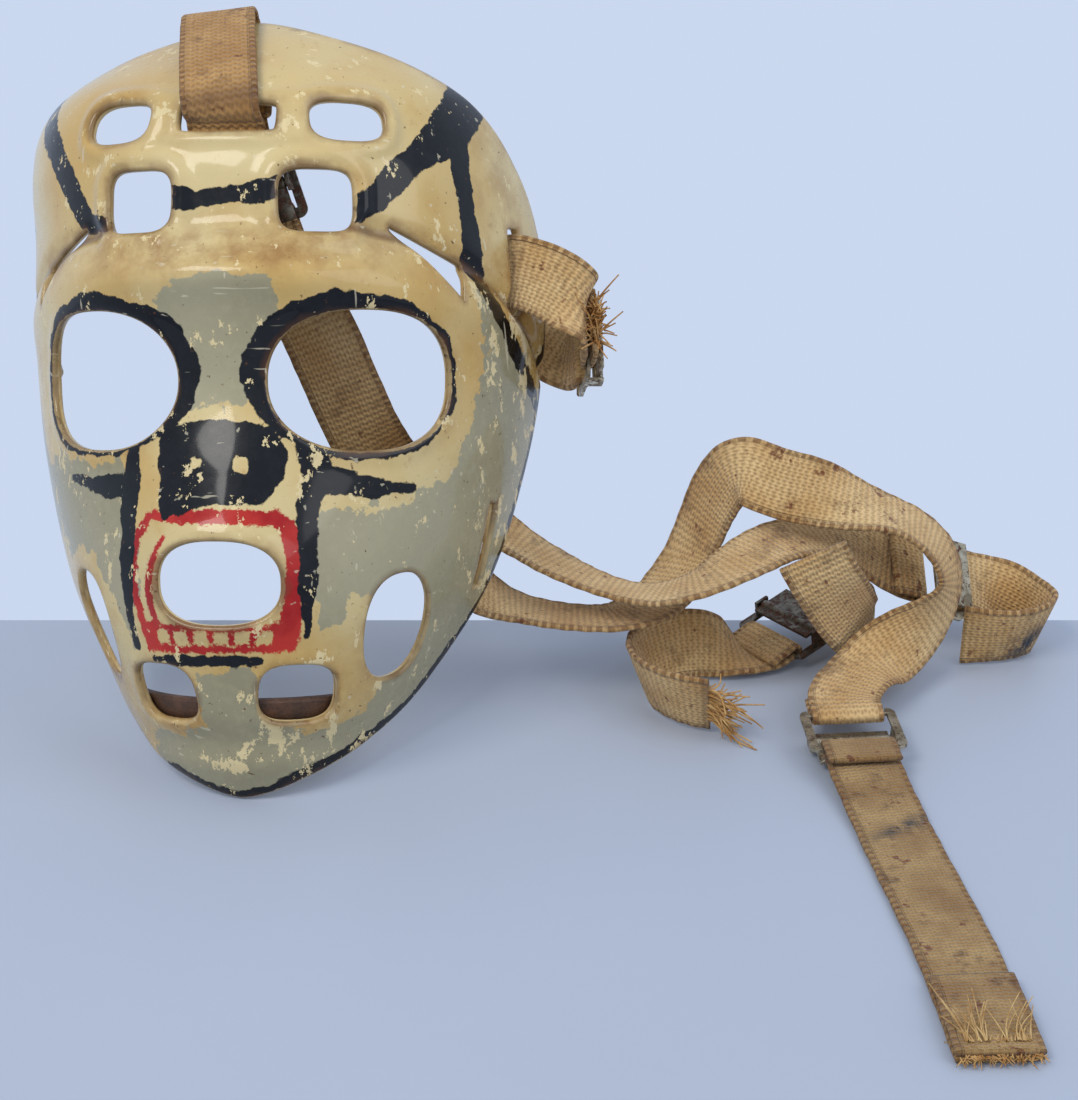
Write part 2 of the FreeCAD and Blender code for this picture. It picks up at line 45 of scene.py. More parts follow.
# ---------------------------------------------------------------- frames
MASK_YAW = 7.0
MASK_LEAN = 21.5
MASK_SHIFT = Vector((8.5, 70.0, -26.2))
ORIGIN = Vector((6.0626, 104.6730, 115.9859))
LEAN_TURN = Matrix.Rotation(math.radians(-MASK_LEAN), 3, "X")
YAW_TURN = Matrix.Rotation(math.radians(-MASK_YAW), 3, "Z")
MASK_TURN = LEAN_TURN @ YAW_TURN
TURN = np.array(MASK_TURN)


def on_mask(x, y, z):
    """Mask frame to the table frame, millimetres."""
    return MASK_TURN @ Vector((x, y, z)) + MASK_SHIFT


def row(point):
    """Table frame in millimetres to the row frame in metres."""
    return (Vector(point) - ORIGIN) * MM


TABLE_Z = row((0, 0, 0)).z

# ---------------------------------------------------------------- shell form
THICKNESS = 3.0
MASK_HEIGHT = 257.0
REAR_EDGE_DROP = 74.0
REAR_EDGE_LOW = 140.0
REAR_FLARE = 3.0
# bulges and hollows: height, place across and its reach, height above the chin tip and its reach
BROW = (5.5, 0, 62, 171, 9)
BROW_ARCH = 10              # the brow ridge falls this far at the reach below
BROW_ARCH_REACH = 70
SOCKET = (-5.0, 42, 20, 139, 18)
MUZZLE = (6.0, 0, 27, 80, 34)
CHIN_GROOVE = (-2.0, 0, 40, 20, 6)
CROWN_SPREAD = (8.0, -92, 42, 226, 30)
STATIONS = np.array([
    (0, 46, 72), (15, 51, 83), (38, 61, 92), (68, 74, 99), (108, 83.5, 97), (135, 87, 94),
    (165, 87, 98), (188, 86, 91), (208, 83, 89), (230, 75, 80), (245, 60, 62), (257, 47, 43),
], float)
HOLES = [
    ("eye", 30.0, 136.5, 30.5, 22.0, 2.4, 0.0, True),
    ("mouth", 0.0, 73.0, 20.0, 13.5, 2.5, 0.0, False),
    ("cheek", 47.0, 57.0, 14.2, 17.6, 2.3, 8.0, True),
    ("chin", 21.0, 36.7, 12.6, 9.6, 3.0, 0.0, True),
    ("square", 19.5, 193.0, 11.8, 9.8, 4.0, 0.0, True),
    ("oval", 27.5, 219.0, 12.2, 6.6, 2.8, 0.0, True),
    ("crown_slot", 0.0, 219.5, 15.5, 4.4, 6.0, 0.0, False),
    ("temple_slot", 74.0, 174.0, 3.8, 14.8, 5.0, 0.0, True),
    ("jaw_slot", 71.5, 81.5, 2.4, 14.0, 5.0, 0.0, True),
]
VENT = [(36.0, 185.5), (55.5, 175.0), (54.5, 163.0)]
CELL = 1.15                 # grid pitch of the shell mesh
EDGE_ROUND = 1.25           # radius of the worn outer edges
FAR = 60.0
MM_PER_DEGREE = 1.5         # scale of the paint's across direction, u; its up direction, v, is the height
ANGLE_STEP = 0.5            # step for slopes and normals


def smooth(column, z):
    heights = STATIONS[:, 0]
    values = STATIONS[:, column]
    last = len(heights) - 1
    z = np.clip(z, heights[0], heights[last])
    k = np.clip(np.searchsorted(heights, z, side="right") - 1, 0, last - 1)
    low, high = np.maximum(np.arange(last + 1) - 1, 0), np.minimum(np.arange(last + 1) + 1, last)
    slope = (values[high] - values[low]) / (heights[high] - heights[low])
    h = heights[k + 1] - heights[k]
    t = (z - heights[k]) / h
    value = (2 * t**3 - 3 * t * t + 1) * values[k] + (3 * t * t - 2 * t**3) * values[k + 1]
    return value + (t**3 - 2 * t * t + t) * h * slope[k] + (t**3 - t * t) * h * slope[k + 1]


def bell(value, centre, width):
    return np.exp(-((value - centre) / width) ** 2)


def swell(bulge, x, z):
    height, centre_x, reach_x, centre_z, reach_z = bulge
    return height * bell(x, centre_x, reach_x) * bell(z, centre_z, reach_z)


def relief(x, z):
    """How far the face stands out of, or sinks into, the plain shell form."""
    total = swell(BROW, x, z + BROW_ARCH * (x / BROW_ARCH_REACH) ** 2) + swell(SOCKET, np.abs(x), z)
    for bulge in (MUZZLE, CHIN_GROOVE, CROWN_SPREAD):
        total = total + swell(bulge, x, z)
    return total


def surface(angle, z):
    """Points of the outer side of the shell, mask frame."""
    turn = np.radians(angle)
    rear = np.maximum(0.0, (np.abs(angle) / 90 - 0.6) / 0.4)
    x = smooth(1, z) * np.sin(turn) + np.sign(angle) * REAR_FLARE * rear * rear
    y = -smooth(2, z) * np.cos(turn)
    lift = relief(x, z)
    return np.stack([x + np.sin(turn) * lift, y - np.cos(turn) * lift, z + 0 * x], -1)


def normals(angle, z):
    across = surface(angle + ANGLE_STEP, z) - surface(angle - ANGLE_STEP, z)
    up = surface(angle, z + ANGLE_STEP) - surface(angle, z - ANGLE_STEP)
    n = np.cross(across, up)
    return n / np.linalg.norm(n, axis=-1, keepdims=True)


def jaw_edge(angle):
    q = np.abs(angle) / 90
    return REAR_EDGE_LOW * (0.3 * q**1.5 + 0.7 * q**8)


def crown_edge(angle):
    q = np.abs(angle) / 90
    return MASK_HEIGHT - REAR_EDGE_DROP * (0.35 * q**1.4 + 0.65 * q**6)


def hole_distance(points, angle_grid, hole, side):
    """Distance outside one opening, about in millimetres; negative within it."""
    _, angle, z, half_width, half_height, power, tilt, _ = hole
    angle = angle * side
    turn = math.radians(angle)
    centre = surface(np.array([angle]), np.array([z]))[0]
    lean = math.radians(tilt) * (1 if angle >= 0 else -1)
    s = (points[..., 0] - centre[0]) * math.cos(turn) + (points[..., 1] - centre[1]) * math.sin(turn)
    h = points[..., 2] - centre[2]
    s, h = s * math.cos(lean) + h * math.sin(lean), -s * math.sin(lean) + h * math.cos(lean)
    a, b = np.abs(s) / half_width + 1e-6, np.abs(h) / half_height + 1e-6
    f = (a**power + b**power) ** (1 / power)
    steep = np.sqrt((a ** (power - 1) / half_width) ** 2 + (b ** (power - 1) / half_height) ** 2)
    distance = np.clip((f - 1) / (f ** (1 - power) * steep), -FAR, FAR)
    return np.where(np.abs(angle_grid - angle) > 45, FAR, distance)


def polygon_distance(u, v, corners):
    """Signed distance to a closed polygon, negative within it."""
    best = np.full(u.shape, 1e9)
    inside = np.zeros(u.shape, bool)
    for (x0, y0), (x1, y1) in zip(corners, corners[1:] + corners[:1]):
        dx, dy = x1 - x0, y1 - y0
        t = np.clip(((u - x0) * dx + (v - y0) * dy) / (dx * dx + dy * dy), 0, 1)
        best = np.minimum(best, np.hypot(u - x0 - t * dx, v - y0 - t * dy))
        crosses = (y0 > v) != (y1 > v)
        inside ^= crosses & (u < (dx * (v - y0) / (dy if dy else 1e-9) + x0))
    return np.where(inside, -best, best)


def line_distance(u, v, points):
    """Distance outside a stroke whose points are (u, v, half width)."""
    best = np.full(u.shape, 1e9)
    for (x0, y0, w0), (x1, y1, w1) in zip(points, points[1:]):
        dx, dy = x1 - x0, y1 - y0
        t = np.clip(((u - x0) * dx + (v - y0) * dy) / (dx * dx + dy * dy), 0, 1)
        best = np.minimum(best, np.hypot(u - x0 - t * dx, v - y0 - t * dy) - (w0 + t * (w1 - w0)))
    return best


def material_distance(angle, z, points):
    """Distance into the material from each kind of opening and from each rim."""
    kinds = {}
    for hole in HOLES:
        for side in ((1, -1) if hole[7] else (1,)):
            d = hole_distance(points, angle, hole, side)
            kinds[hole[0]] = np.minimum(kinds.get(hole[0], FAR), d)
    vent = np.full(angle.shape, FAR)
    for side in (1, -1):
        middle = math.radians(side * sum(corner[0] for corner in VENT) / len(VENT))
        corner = surface(np.array([side * a for a, _ in VENT]), np.array([h for _, h in VENT]))
        flat = [(c[0] * math.cos(middle) + c[1] * math.sin(middle), c[2]) for c in corner]
        u = points[..., 0] * math.cos(middle) + points[..., 1] * math.sin(middle)
        d = polygon_distance(u, points[..., 2], flat)
        vent = np.minimum(vent, np.where(angle * side > 5, d, FAR))
    kinds["vent"] = vent
    for kind, edge, side in (("jaw", jaw_edge, 1), ("crown", crown_edge, -1)):
        slope = (edge(angle + ANGLE_STEP) - edge(angle - ANGLE_STEP)) / (2 * ANGLE_STEP * MM_PER_DEGREE)
        kinds[kind] = side * (z - edge(angle)) / np.hypot(1, slope)
    kinds["rear"] = (90 - np.abs(angle)) * MM_PER_DEGREE
    return kinds


# raised lips round the openings: kind, height, distance from the edge, width
LIPS = [
    ("square", 2.0, 3.4, 3.0), ("oval", 1.6, 3.0, 2.6), ("crown_slot", 1.2, 2.8, 2.4),
    ("eye", 0.9, 2.0, 3.0), ("mouth", 0.7, 2.0, 3.0), ("chin", 0.5, 2.0, 2.4),
]


def pressed_lips(kinds):
    """Raised pressed lips round the forehead openings and softer ones elsewhere."""
    lift = 0
    for kind, height, at, width in LIPS:
        lift = lift + height * bell(kinds[kind], at, width)
    return lift


# painted strokes as (u, v, half width) and painted areas as (u, v), millimetres
EYE_PAINT_CENTRE = (45, 136.5)
EYE_PAINT_RIM = 2.6
EYE_PAINT_INNER = (172, 5.0, 5)     # direction in degrees, extra width, sharpness
EYE_PAINT_TOP = (105, 3.4, 2)
BLACK_STROKES = [
    [(-126, 226, 2.5), (-122, 205, 2.4), (-120, 184, 2.0)],
    [(-22, 195, 3.8), (-10, 193, 3.3), (2, 194.5, 3.3), (20, 197, 3.8)],
    [(-118, 240, 5), (-96, 231, 5), (-76, 214, 5), (-60, 198, 4.2), (-52, 188, 3.8), (-44, 186, 2.4),
     (-28, 187, 1.4)],
    [(34, 188, 2.0), (42, 190, 5.0), (52, 198, 4.4), (64, 207, 4.2), (78, 217, 7.5), (98, 230, 8.0)],
    [(84, 220, 6), (84, 206, 4.2), (85, 190, 4.2), (87, 176, 4.0), (98, 160, 3.4), (112, 143, 3.2),
     (134, 127, 3.4)],
    [(-31, 114, 3), (-32, 105, 4.0), (-35, 85, 3.0), (-38, 64, 2.4), (-39, 53, 1.8)],
    [(-32, 103, 4.0), (-46, 103, 3.6), (-64, 105, 1.4)],
    [(27, 121, 4.5), (31, 108, 5), (29, 92, 3.4), (31, 74, 2.6), (33, 56, 1.6)],
    [(31, 106, 4.6), (44, 103, 3.2), (64, 102, 2.2)],
    [(-30, 48.6, 1.3), (-10, 48, 1.7), (16, 48, 1.4)],
]
NOSE_PATCH = [
    (-20, 117), (-16, 121), (-5, 123), (8, 123), (16, 120), (20, 113), (20, 106), (15, 99), (7, 98),
    (-2, 99), (-10, 96), (-18, 93), (-20, 97),
]
NOSE_PATCH_GROWTH = 0.8
NOSE_GAPS = (-7, 7)
RED_STROKES = [
    [(-31, 54, 2.2), (-33, 70, 2.0), (-32, 82, 1.9), (-28, 90, 1.7), (-22, 95, 1.6)],
    [(-22, 94, 1.4), (-10, 94, 2.4), (6, 94, 2.6), (20, 93, 2.2)],
    [(19, 94, 2.4), (25, 88, 3.2), (26.5, 76, 3.5), (26, 56, 3.8)],
    [(-25, 60, 1.8), (-26, 70, 2.0), (-23, 80, 1.7), (-18, 87, 1.0)],
]
LOWER_LIP = [(-33, 50.5), (29, 51), (29, 61), (20, 60.5), (0, 59.5), (-20, 60.5), (-33, 61)]
LIP_GAPS = range(-23, 24, 8)
OLIVE_AREAS = [
    [(-19, 169), (16, 169), (17, 156), (18, 142), (11, 131), (2, 128), (-9, 128), (-16, 132), (-20, 142),
     (-20, 156)],
    [(86, 172), (100, 158), (126, 134), (140, 120), (140, 55), (118, 32), (95, 16), (72, 2), (42, -4),
     (0, -4), (-44, -4), (-60, 10), (-52, 22), (-30, 26), (-12, 30), (-9, 44), (10, 46), (26, 26), (50, 26),
     (66, 30), (70, 40), (78, 50), (74, 66), (62, 72), (46, 70), (42, 56), (34, 58), (32, 96), (58, 96),
     (78, 106), (92, 130), (90, 156)],
    [(-100, 128), (-86, 112), (-60, 112), (-34, 112), (-33, 66), (-40, 54), (-46, 68), (-62, 82), (-80, 78),
     (-110, 96)],
]


def strokes(u, v, lines):
    return [line_distance(u, v, line) for line in lines]


def gap_blocks(u, v, centres, low, high, half_low, half_high):
    """Distance to a row of small blocks, each a little narrower at its upper side."""
    blocks = []
    for x in centres:
        corners = [(x - half_low, low), (x + half_low, low), (x + half_high, high), (x - half_high, high)]
        blocks.append(polygon_distance(u, v, corners))
    return np.minimum.reduce(blocks)


def eye_paint(u, v, kinds):
    """Distance to the painted rim of an eye, wider at the inner side and at the top."""
    centre_u, centre_v = EYE_PAINT_CENTRE
    turn = np.arctan2(v - centre_v, np.abs(u) - centre_u)
    width = EYE_PAINT_RIM
    for direction, extra, sharpness in (EYE_PAINT_INNER, EYE_PAINT_TOP):
        width = width + extra * np.clip(np.cos(turn - math.radians(direction)), 0, 1) ** sharpness
    return kinds["eye"] - width


def black_paint(u, v, kinds):
    """Signed distance to the areas of black paint, millimetres."""
    parts = strokes(u, v, BLACK_STROKES)
    parts.append(polygon_distance(u, v, NOSE_PATCH) - NOSE_PATCH_GROWTH)
    parts.append(eye_paint(u, v, kinds))
    # the rims: along the jaw, wider to the right, and down the two rear edges
    parts.append(np.where(u > -50, kinds["jaw"] - 2.6 - 1.8 * np.clip((u + 50) / 110, 0, 1), FAR))
    parts.append(np.where((u > 0) & (v < 150), kinds["rear"] - 3.6, FAR))
    parts.append(np.where(u < -100, np.minimum(kinds["rear"] - 2.2, kinds["temple_slot"] - 1.5), FAR))
    return np.maximum(np.minimum.reduce(parts), -gap_blocks(u, v, NOSE_GAPS, 108.6, 112.2, 1.9, 1.7))


def red_paint(u, v):
    """Signed distance to the red mouth band, with plain gaps in its lower side."""
    parts = strokes(u, v, RED_STROKES) + [polygon_distance(u, v, LOWER_LIP)]
    return np.maximum(np.minimum.reduce(parts), -gap_blocks(u, v, LIP_GAPS, 53.4, 58.0, 2.9, 2.5))


def olive_paint(u, v):
    """Signed distance to the areas of grey-olive paint."""
    return np.minimum.reduce([polygon_distance(u, v, area) for area in OLIVE_AREAS])


def add_object(name, data):
    piece = bpy.data.objects.new(name, data)
    bpy.context.scene.collection.objects.link(piece)
    return piece


def new_mesh(name, vertices, faces):
    mesh = bpy.data.meshes.new(name)
    mesh.from_pydata([tuple(v) for v in vertices], [], faces)
    mesh.validate()
    mesh.polygons.foreach_set("use_smooth", [True] * len(mesh.polygons))
    mesh.update()
    return add_object(name, mesh)


def attribute(piece, name, values):
    layer = piece.data.attributes.new(name, "FLOAT", "POINT")
    layer.data.foreach_set("value", np.asarray(values, np.float32))


def cut_grid(angle, z, distance, level):
    """Vertices (angle, height) and faces of the part of a grid where distance is above level."""
    rows, columns = angle.shape
    value = distance - level
    a, h, f = angle.copy(), z.copy(), value.copy()
    # points close to the outline are moved onto it, so that no sliver is left
    da, dz = angle[0, 1] - angle[0, 0], z[1, 0] - z[0, 0]
    grow_z, grow_a = np.gradient(value, dz, da)
    size = (grow_a / MM_PER_DEGREE) ** 2 + grow_z**2 + 1e-9
    near = (np.abs(value) < 0.38 * CELL)
    near[:, 0] = near[:, -1] = False
    a = np.where(near, a - value * grow_a / MM_PER_DEGREE**2 / size, a)
    h = np.where(near, h - value * grow_z / size, h)
    f = np.where(near, 0.0, f)
    points = [(a[i, j], h[i, j]) for i in range(rows) for j in range(columns)]
    flat = f.ravel()
    cuts, faces = {}, []

    def crossing(one, two):
        key = (min(one, two), max(one, two))
        if key not in cuts:
            t = flat[key[0]] / (flat[key[0]] - flat[key[1]])
            p, q = points[key[0]], points[key[1]]
            cuts[key] = len(points)
            points.append((p[0] + (q[0] - p[0]) * t, p[1] + (q[1] - p[1]) * t))
        return cuts[key]

    for i in range(rows - 1):
        for j in range(columns - 1):
            corner = [i * columns + j, i * columns + j + 1, (i + 1) * columns + j + 1, (i + 1) * columns + j]
            signs = [flat[c] for c in corner]
            if min(signs) >= 0 and max(signs) > 0:
                faces.append(corner)
            elif max(signs) > 0:
                shape = []
                for k in range(4):
                    one, two = corner[k], corner[(k + 1) % 4]
                    if flat[one] >= 0:
                        shape.append(one)
                    if flat[one] * flat[two] < 0:
                        shape.append(crossing(one, two))
                if len(shape) > 2:
                    faces.append(shape)
    used = sorted({v for face in faces for v in face})
    index = {v: k for k, v in enumerate(used)}
    kept = np.array([points[v] for v in used])
    return kept[:, 0], kept[:, 1], [[index[v] for v in face] for face in faces]


# where the coat is chipped most: share, place across and its reach, height and its reach
WORN_PATCHES = [(1.0, 112, 26, 128, 42), (0.5, 35, 50, 26, 14), (0.7, -70, 26, 88, 24)]


def make_shell():
    """Shell as one closed mesh: outer and inner skins joined by rounded rims, with its paint attributes."""
    across = int(180 * MM_PER_DEGREE / CELL)
    up = int((MASK_HEIGHT + 2) / CELL)
    angle, z = np.meshgrid(np.linspace(-90, 90, across + 1), np.linspace(-1, MASK_HEIGHT + 1, up + 1))
    kinds = material_distance(angle, z, surface(angle, z))
    distance = np.minimum.reduce([d for kind, d in kinds.items() if kind != "rear"])
    a, h, faces = cut_grid(angle, z, distance, EDGE_ROUND)
    points = surface(a, h)
    kinds = material_distance(a, h, points)
    distance = np.minimum.reduce(list(kinds.values()))
    out = normals(a, h)
    lift = pressed_lips(kinds)
    crease_height = 186 - 11 * (np.abs(a) / 56) ** 3
    fade = np.clip((np.abs(a) + 6) / 40, 0.25, 1) * np.clip(kinds["square"] / 4, 0, 1)
    crease = -2.4 * bell(h, crease_height, 3.6) * fade
    sag = 0.35 * np.sin(a * 0.11 + 1.3) * np.cos(h * 0.05 + 0.4) + crease
    outer = points + out * (lift + sag)[:, None]
    inner = points + out * (0.55 * lift + sag - THICKNESS)[:, None]
    count = len(points)
    # boundary edges with the direction that leaves the material
    owner = {}
    for face in faces:
        for one, two in zip(face, face[1:] + face[:1]):
            owner[(one, two)] = True
    border = [(one, two) for one, two in owner if (two, one) not in owner]
    leave = np.zeros((count, 3))
    for one, two in border:
        along = outer[two] - outer[one]
        side = np.cross(along, out[one])
        leave[one] += side
        leave[two] += side
    rim_ids = sorted({v for edge in border for v in edge})
    size = np.linalg.norm(leave[rim_ids], axis=1, keepdims=True)
    leave[rim_ids] /= np.maximum(size, 1e-9)
    rear = {v for v in rim_ids if abs(abs(a[v]) - 90) < 0.01}
    vertices = np.concatenate([outer, inner])
    all_faces = [list(face) for face in faces] + [[v + count for v in reversed(face)] for face in faces]
    profile = [(math.sin(t), 1 - math.cos(t)) for t in np.radians([25, 50, 75])]
    profile += [(math.sin(t), THICKNESS / EDGE_ROUND - 1 - math.cos(t)) for t in np.radians([105, 130, 155])]
    depths = [min(1.0, step_in * EDGE_ROUND / THICKNESS) for _, step_in in profile]
    rings, extra = [], []
    total = len(vertices)
    for (step_out, _), share in zip(profile, depths):
        ring = {}
        for v in rim_ids:
            reach = EDGE_ROUND * step_out * (0.02 if v in rear else 1.0)
            base = outer[v] * (1 - share) + inner[v] * share
            ring[v] = total + len(extra)
            extra.append(base + leave[v] * reach)
        rings.append(ring)
    vertices = np.concatenate([vertices, np.array(extra)])
    chain = [{v: v for v in rim_ids}] + rings + [{v: v + count for v in rim_ids}]
    for one, two in border:
        for upper, lower in zip(chain, chain[1:]):
            all_faces.append([upper[two], upper[one], lower[one], lower[two]])
    source = np.concatenate([np.arange(count), np.arange(count), np.tile(rim_ids, len(profile))])
    table = vertices @ TURN.T + np.array(MASK_SHIFT)
    piece = new_mesh("shell", (table - np.array(ORIGIN)) * MM, all_faces)
    u, v = a * MM_PER_DEGREE, h
    attribute(piece, "black", black_paint(u, v, kinds)[source])
    attribute(piece, "red", red_paint(u, v)[source])
    attribute(piece, "olive", olive_paint(u, v)[source])
    rim = np.concatenate([distance, distance, np.zeros(len(profile) * len(rim_ids))])
    attribute(piece, "rim", rim)
    worn = 0.3 * bell(distance, 0, 9)
    for patch in WORN_PATCHES:
        worn = worn + swell(patch, u, v)
    attribute(piece, "worn", worn[source])
    # painted shade along the brow crease: a dark band in the dent, none in the middle of the brow
    crease_shade = bell(h, crease_height - 0.5, 2.0) * np.clip((np.abs(a) - 8) / 20, 0, 1)
    attribute(piece, "crease", crease_shade[source])
    dirt = bell(v, 177, 9) * bell(u, 0, 70) + 0.6 * bell(distance, 0, 3.5)
    dirt = dirt + 0.5 * bell(u, 105, 18) + 0.45 * bell(v, 30, 16)
    attribute(piece, "dirt", np.clip(dirt, 0, 1)[source])
    inside = np.concatenate([np.zeros(count), np.ones(count), np.repeat(depths, len(rim_ids))])
    attribute(piece, "inside", inside)
    return piece


# ---------------------------------------------------------------- materials
class Nodes:
    """Short helpers to write a procedural material."""

    def __init__(self, name):
        self.material = bpy.data.materials.new(name)
        self.material.use_nodes = True
        self.tree = self.material.node_tree
        self.tree.nodes.clear()
        self.shader = self.node("BsdfPrincipled")
        output = self.node("OutputMaterial")
        self.tree.links.new(self.shader.outputs[0], output.inputs[0])
        self.position = self.node("TexCoord").outputs["Object"]

    def node(self, kind, **inputs):
        node = self.tree.nodes.new("ShaderNode" + kind)
        for name, value in inputs.items():
            self.feed(node.inputs[name], value)
        return node

    def feed(self, socket, value):
        if isinstance(value, bpy.types.NodeSocket):
            self.tree.links.new(value, socket)
        else:
            socket.default_value = value

    def value(self, name):
        node = self.node("Attribute")
        node.attribute_name = name
        return node.outputs["Fac"]

    def math(self, kind, *values):
        node = self.node("Math")
        node.operation = kind
        for socket, value in zip(node.inputs, values):
            self.feed(socket, value)
        return node.outputs[0]

    def plus(self, one, two):
        return self.math("ADD", one, two)

    def times(self, one, two):
        return self.math("MULTIPLY", one, two)

    def stray(self, value, noise, reach, middle=0.5):
        """Value moved up and down by a noise, so that an outline wanders."""
        return self.plus(value, self.times(self.math("SUBTRACT", noise, middle), reach))

    def noise(self, scale, detail=3.0, rough=0.5, stretch=None, offset=(0, 0, 0)):
        place = self.position
        if stretch or any(offset):
            place = self.node("Mapping", Vector=place, Scale=stretch or (1, 1, 1), Location=offset).outputs[0]
        node = self.node("TexNoise", Vector=place, Scale=scale, Detail=detail, Roughness=rough)
        return node.outputs["Fac"]

    def voronoi(self, scale):
        return self.node("TexVoronoi", Vector=self.position, Scale=scale).outputs["Distance"]

    def ramp(self, value, low, high, start=0.0, end=1.0):
        node = self.node("MapRange")
        node.clamp = True
        for socket, number in zip(node.inputs, (value, low, high, start, end)):
            self.feed(socket, number)
        return node.outputs[0]

    def mix(self, share, one, two):
        node = self.node("Mix")
        node.data_type = "RGBA"
        self.feed(node.inputs[0], share)
        self.feed(node.inputs[6], one)
        self.feed(node.inputs[7], two)
        return node.outputs[2]

    def bump(self, height, strength, distance, under=None):
        node = self.node("Bump", Strength=strength, Distance=distance, Height=height)
        if under is not None:
            self.tree.links.new(under, node.inputs["Normal"])
        return node.outputs[0]

    def set(self, **values):
        for name, value in values.items():
            self.feed(self.shader.inputs[name.replace("_", " ")], value)


def rgb(red, green, blue):
    """Scene-linear colour from display values of 0 to 255."""
    out = []
    for value in (red, green, blue):
        c = value / 255
        out.append(c / 12.92 if c <= 0.04045 else ((c + 0.055) / 1.055) ** 2.4)
    return (*out, 1.0)


def shell_material():
    m = Nodes("aged_paint")
    fine = m.noise(900, 4, 0.6)
    medium = m.noise(260, 4, 0.62)
    broad = m.noise(60, 3, 0.55)
    large = m.noise(16, 2, 0.5)
    # cream base: yellowed in broad clouds, browner in small spots and round the edges
    cream = m.mix(m.ramp(large, 0.35, 0.65), rgb(208, 186, 132), rgb(196, 160, 92))
    cream = m.mix(m.ramp(broad, 0.55, 0.75, 0.0, 0.45), cream, rgb(188, 146, 80))
    cream = m.mix(m.ramp(medium, 0.62, 0.76, 0.0, 0.35), cream, rgb(150, 108, 58))
    stained = m.times(m.value("dirt"), m.ramp(m.noise(95, 4, 0.65, offset=(2, 4, 4)), 0.36, 0.66))
    cream = m.mix(m.times(stained, 0.75), cream, rgb(138, 92, 44))
    # olive coat with worn holes that show the cream below
    olive_edge = m.stray(m.value("olive"), broad, 22.0)
    olive_edge = m.stray(olive_edge, medium, 9.0)
    olive = m.mix(m.ramp(large, 0.35, 0.65), rgb(164, 155, 124), rgb(146, 137, 106))
    olive = m.mix(m.ramp(medium, 0.5, 0.72, 0.0, 0.35), olive, rgb(174, 165, 128))
    colour = m.mix(m.ramp(olive_edge, -0.2, 0.25, 1.0, 0.0), cream, olive)
    # red
    red_edge = m.stray(m.value("red"), medium, 4.0)
    red_edge = m.stray(red_edge, fine, 3.0, 0.45)
    red = m.mix(m.ramp(broad, 0.4, 0.6), rgb(160, 18, 16), rgb(184, 44, 32))
    red_share = m.ramp(red_edge, -0.3, 0.3, 1.0, 0.0)
    colour = m.mix(red_share, colour, red)
    # black
    black_edge = m.stray(m.value("black"), broad, 6.0)
    black_edge = m.stray(black_edge, medium, 3.2)
    black_share = m.ramp(black_edge, -0.2, 0.2, 1.0, 0.0)
    black = m.mix(m.ramp(medium, 0.45, 0.7), rgb(5, 6, 8), rgb(13, 14, 17))
    colour = m.mix(black_share, colour, black)
    # chips: hard-edged islands through to the cream, denser beside the worn edges
    flake = m.noise(120, 5, 0.72, stretch=(1, 1, 0.6), offset=(3, 1, 7))
    flake = m.plus(flake, m.times(fine, 0.12))
    flake = m.plus(flake, m.times(m.value("worn"), 0.085))
    chips = m.ramp(flake, 0.69, 0.70)
    colour = m.mix(m.times(chips, 0.9), colour, rgb(222, 200, 148))
    # wear at the rims: bare pale edge, then brown grime
    wear = m.stray(m.value("rim"), medium, 4.0)
    colour = m.mix(m.ramp(wear, 0.2, 0.8, 0.75, 0.0), colour, rgb(205, 176, 120))
    grime = m.stray(m.value("rim"), broad, 9.0)
    colour = m.mix(m.times(m.ramp(grime, -1.0, 2.0, 1.0, 0.0), 0.7), colour, rgb(92, 56, 28))
    specks = m.plus(m.noise(520, 3, 0.6, offset=(5, 2, 1)), m.times(m.value("worn"), 0.03))
    colour = m.mix(m.ramp(specks, 0.70, 0.72, 0.0, 0.8), colour, rgb(84, 50, 26))
    # painted shade: the brow crease darkened to brown
    colour = m.mix(m.ramp(m.value("crease"), 0.25, 0.9, 0.0, 0.7), colour, rgb(96, 62, 32))
    # hairline scratches
    scratch = m.noise(420, 2, 0.5, stretch=(0.06, 1, 1), offset=(0.3, 0, 0))
    scratch2 = m.noise(380, 2, 0.5, stretch=(1, 1, 0.05), offset=(0, 2, 0))
    lines = m.math("MAXIMUM", m.ramp(scratch, 0.70, 0.73), m.ramp(scratch2, 0.72, 0.75))
    colour = m.mix(m.times(lines, 0.5), colour, rgb(214, 202, 170))
    # the inner side is plain yellowed resin
    raw = m.mix(m.ramp(broad, 0.4, 0.62), rgb(214, 190, 138), rgb(176, 140, 86))
    strands = m.noise(700, 2, 0.5, stretch=(1, 0.25, 1))
    raw = m.mix(m.ramp(strands, 0.55, 0.7, 0.0, 0.4), raw, rgb(226, 210, 170))
    within = m.ramp(m.value("inside"), 0.45, 0.6)
    colour = m.mix(within, colour, raw)
    rough = m.ramp(medium, 0.3, 0.7, 0.20, 0.36)
    rough = m.plus(rough, m.times(chips, 0.2))
    rough = m.plus(rough, m.times(within, 0.25))
    step = m.plus(m.times(black_share, 0.5), m.times(red_share, 0.4))
    step = m.math("SUBTRACT", step, m.times(chips, 0.8))
    bump = m.bump(step, 0.35, 0.00018)
    bump = m.bump(m.noise(110, 2, 0.5), 0.22, 0.0010, bump)
    bump = m.bump(medium, 0.10, 0.0005, bump)
    m.set(Base_Color=colour, Roughness=rough, Normal=bump)
    m.set(Coat_Weight=0.45, Coat_Roughness=0.08, Specular_IOR_Level=0.12)
    return m.material


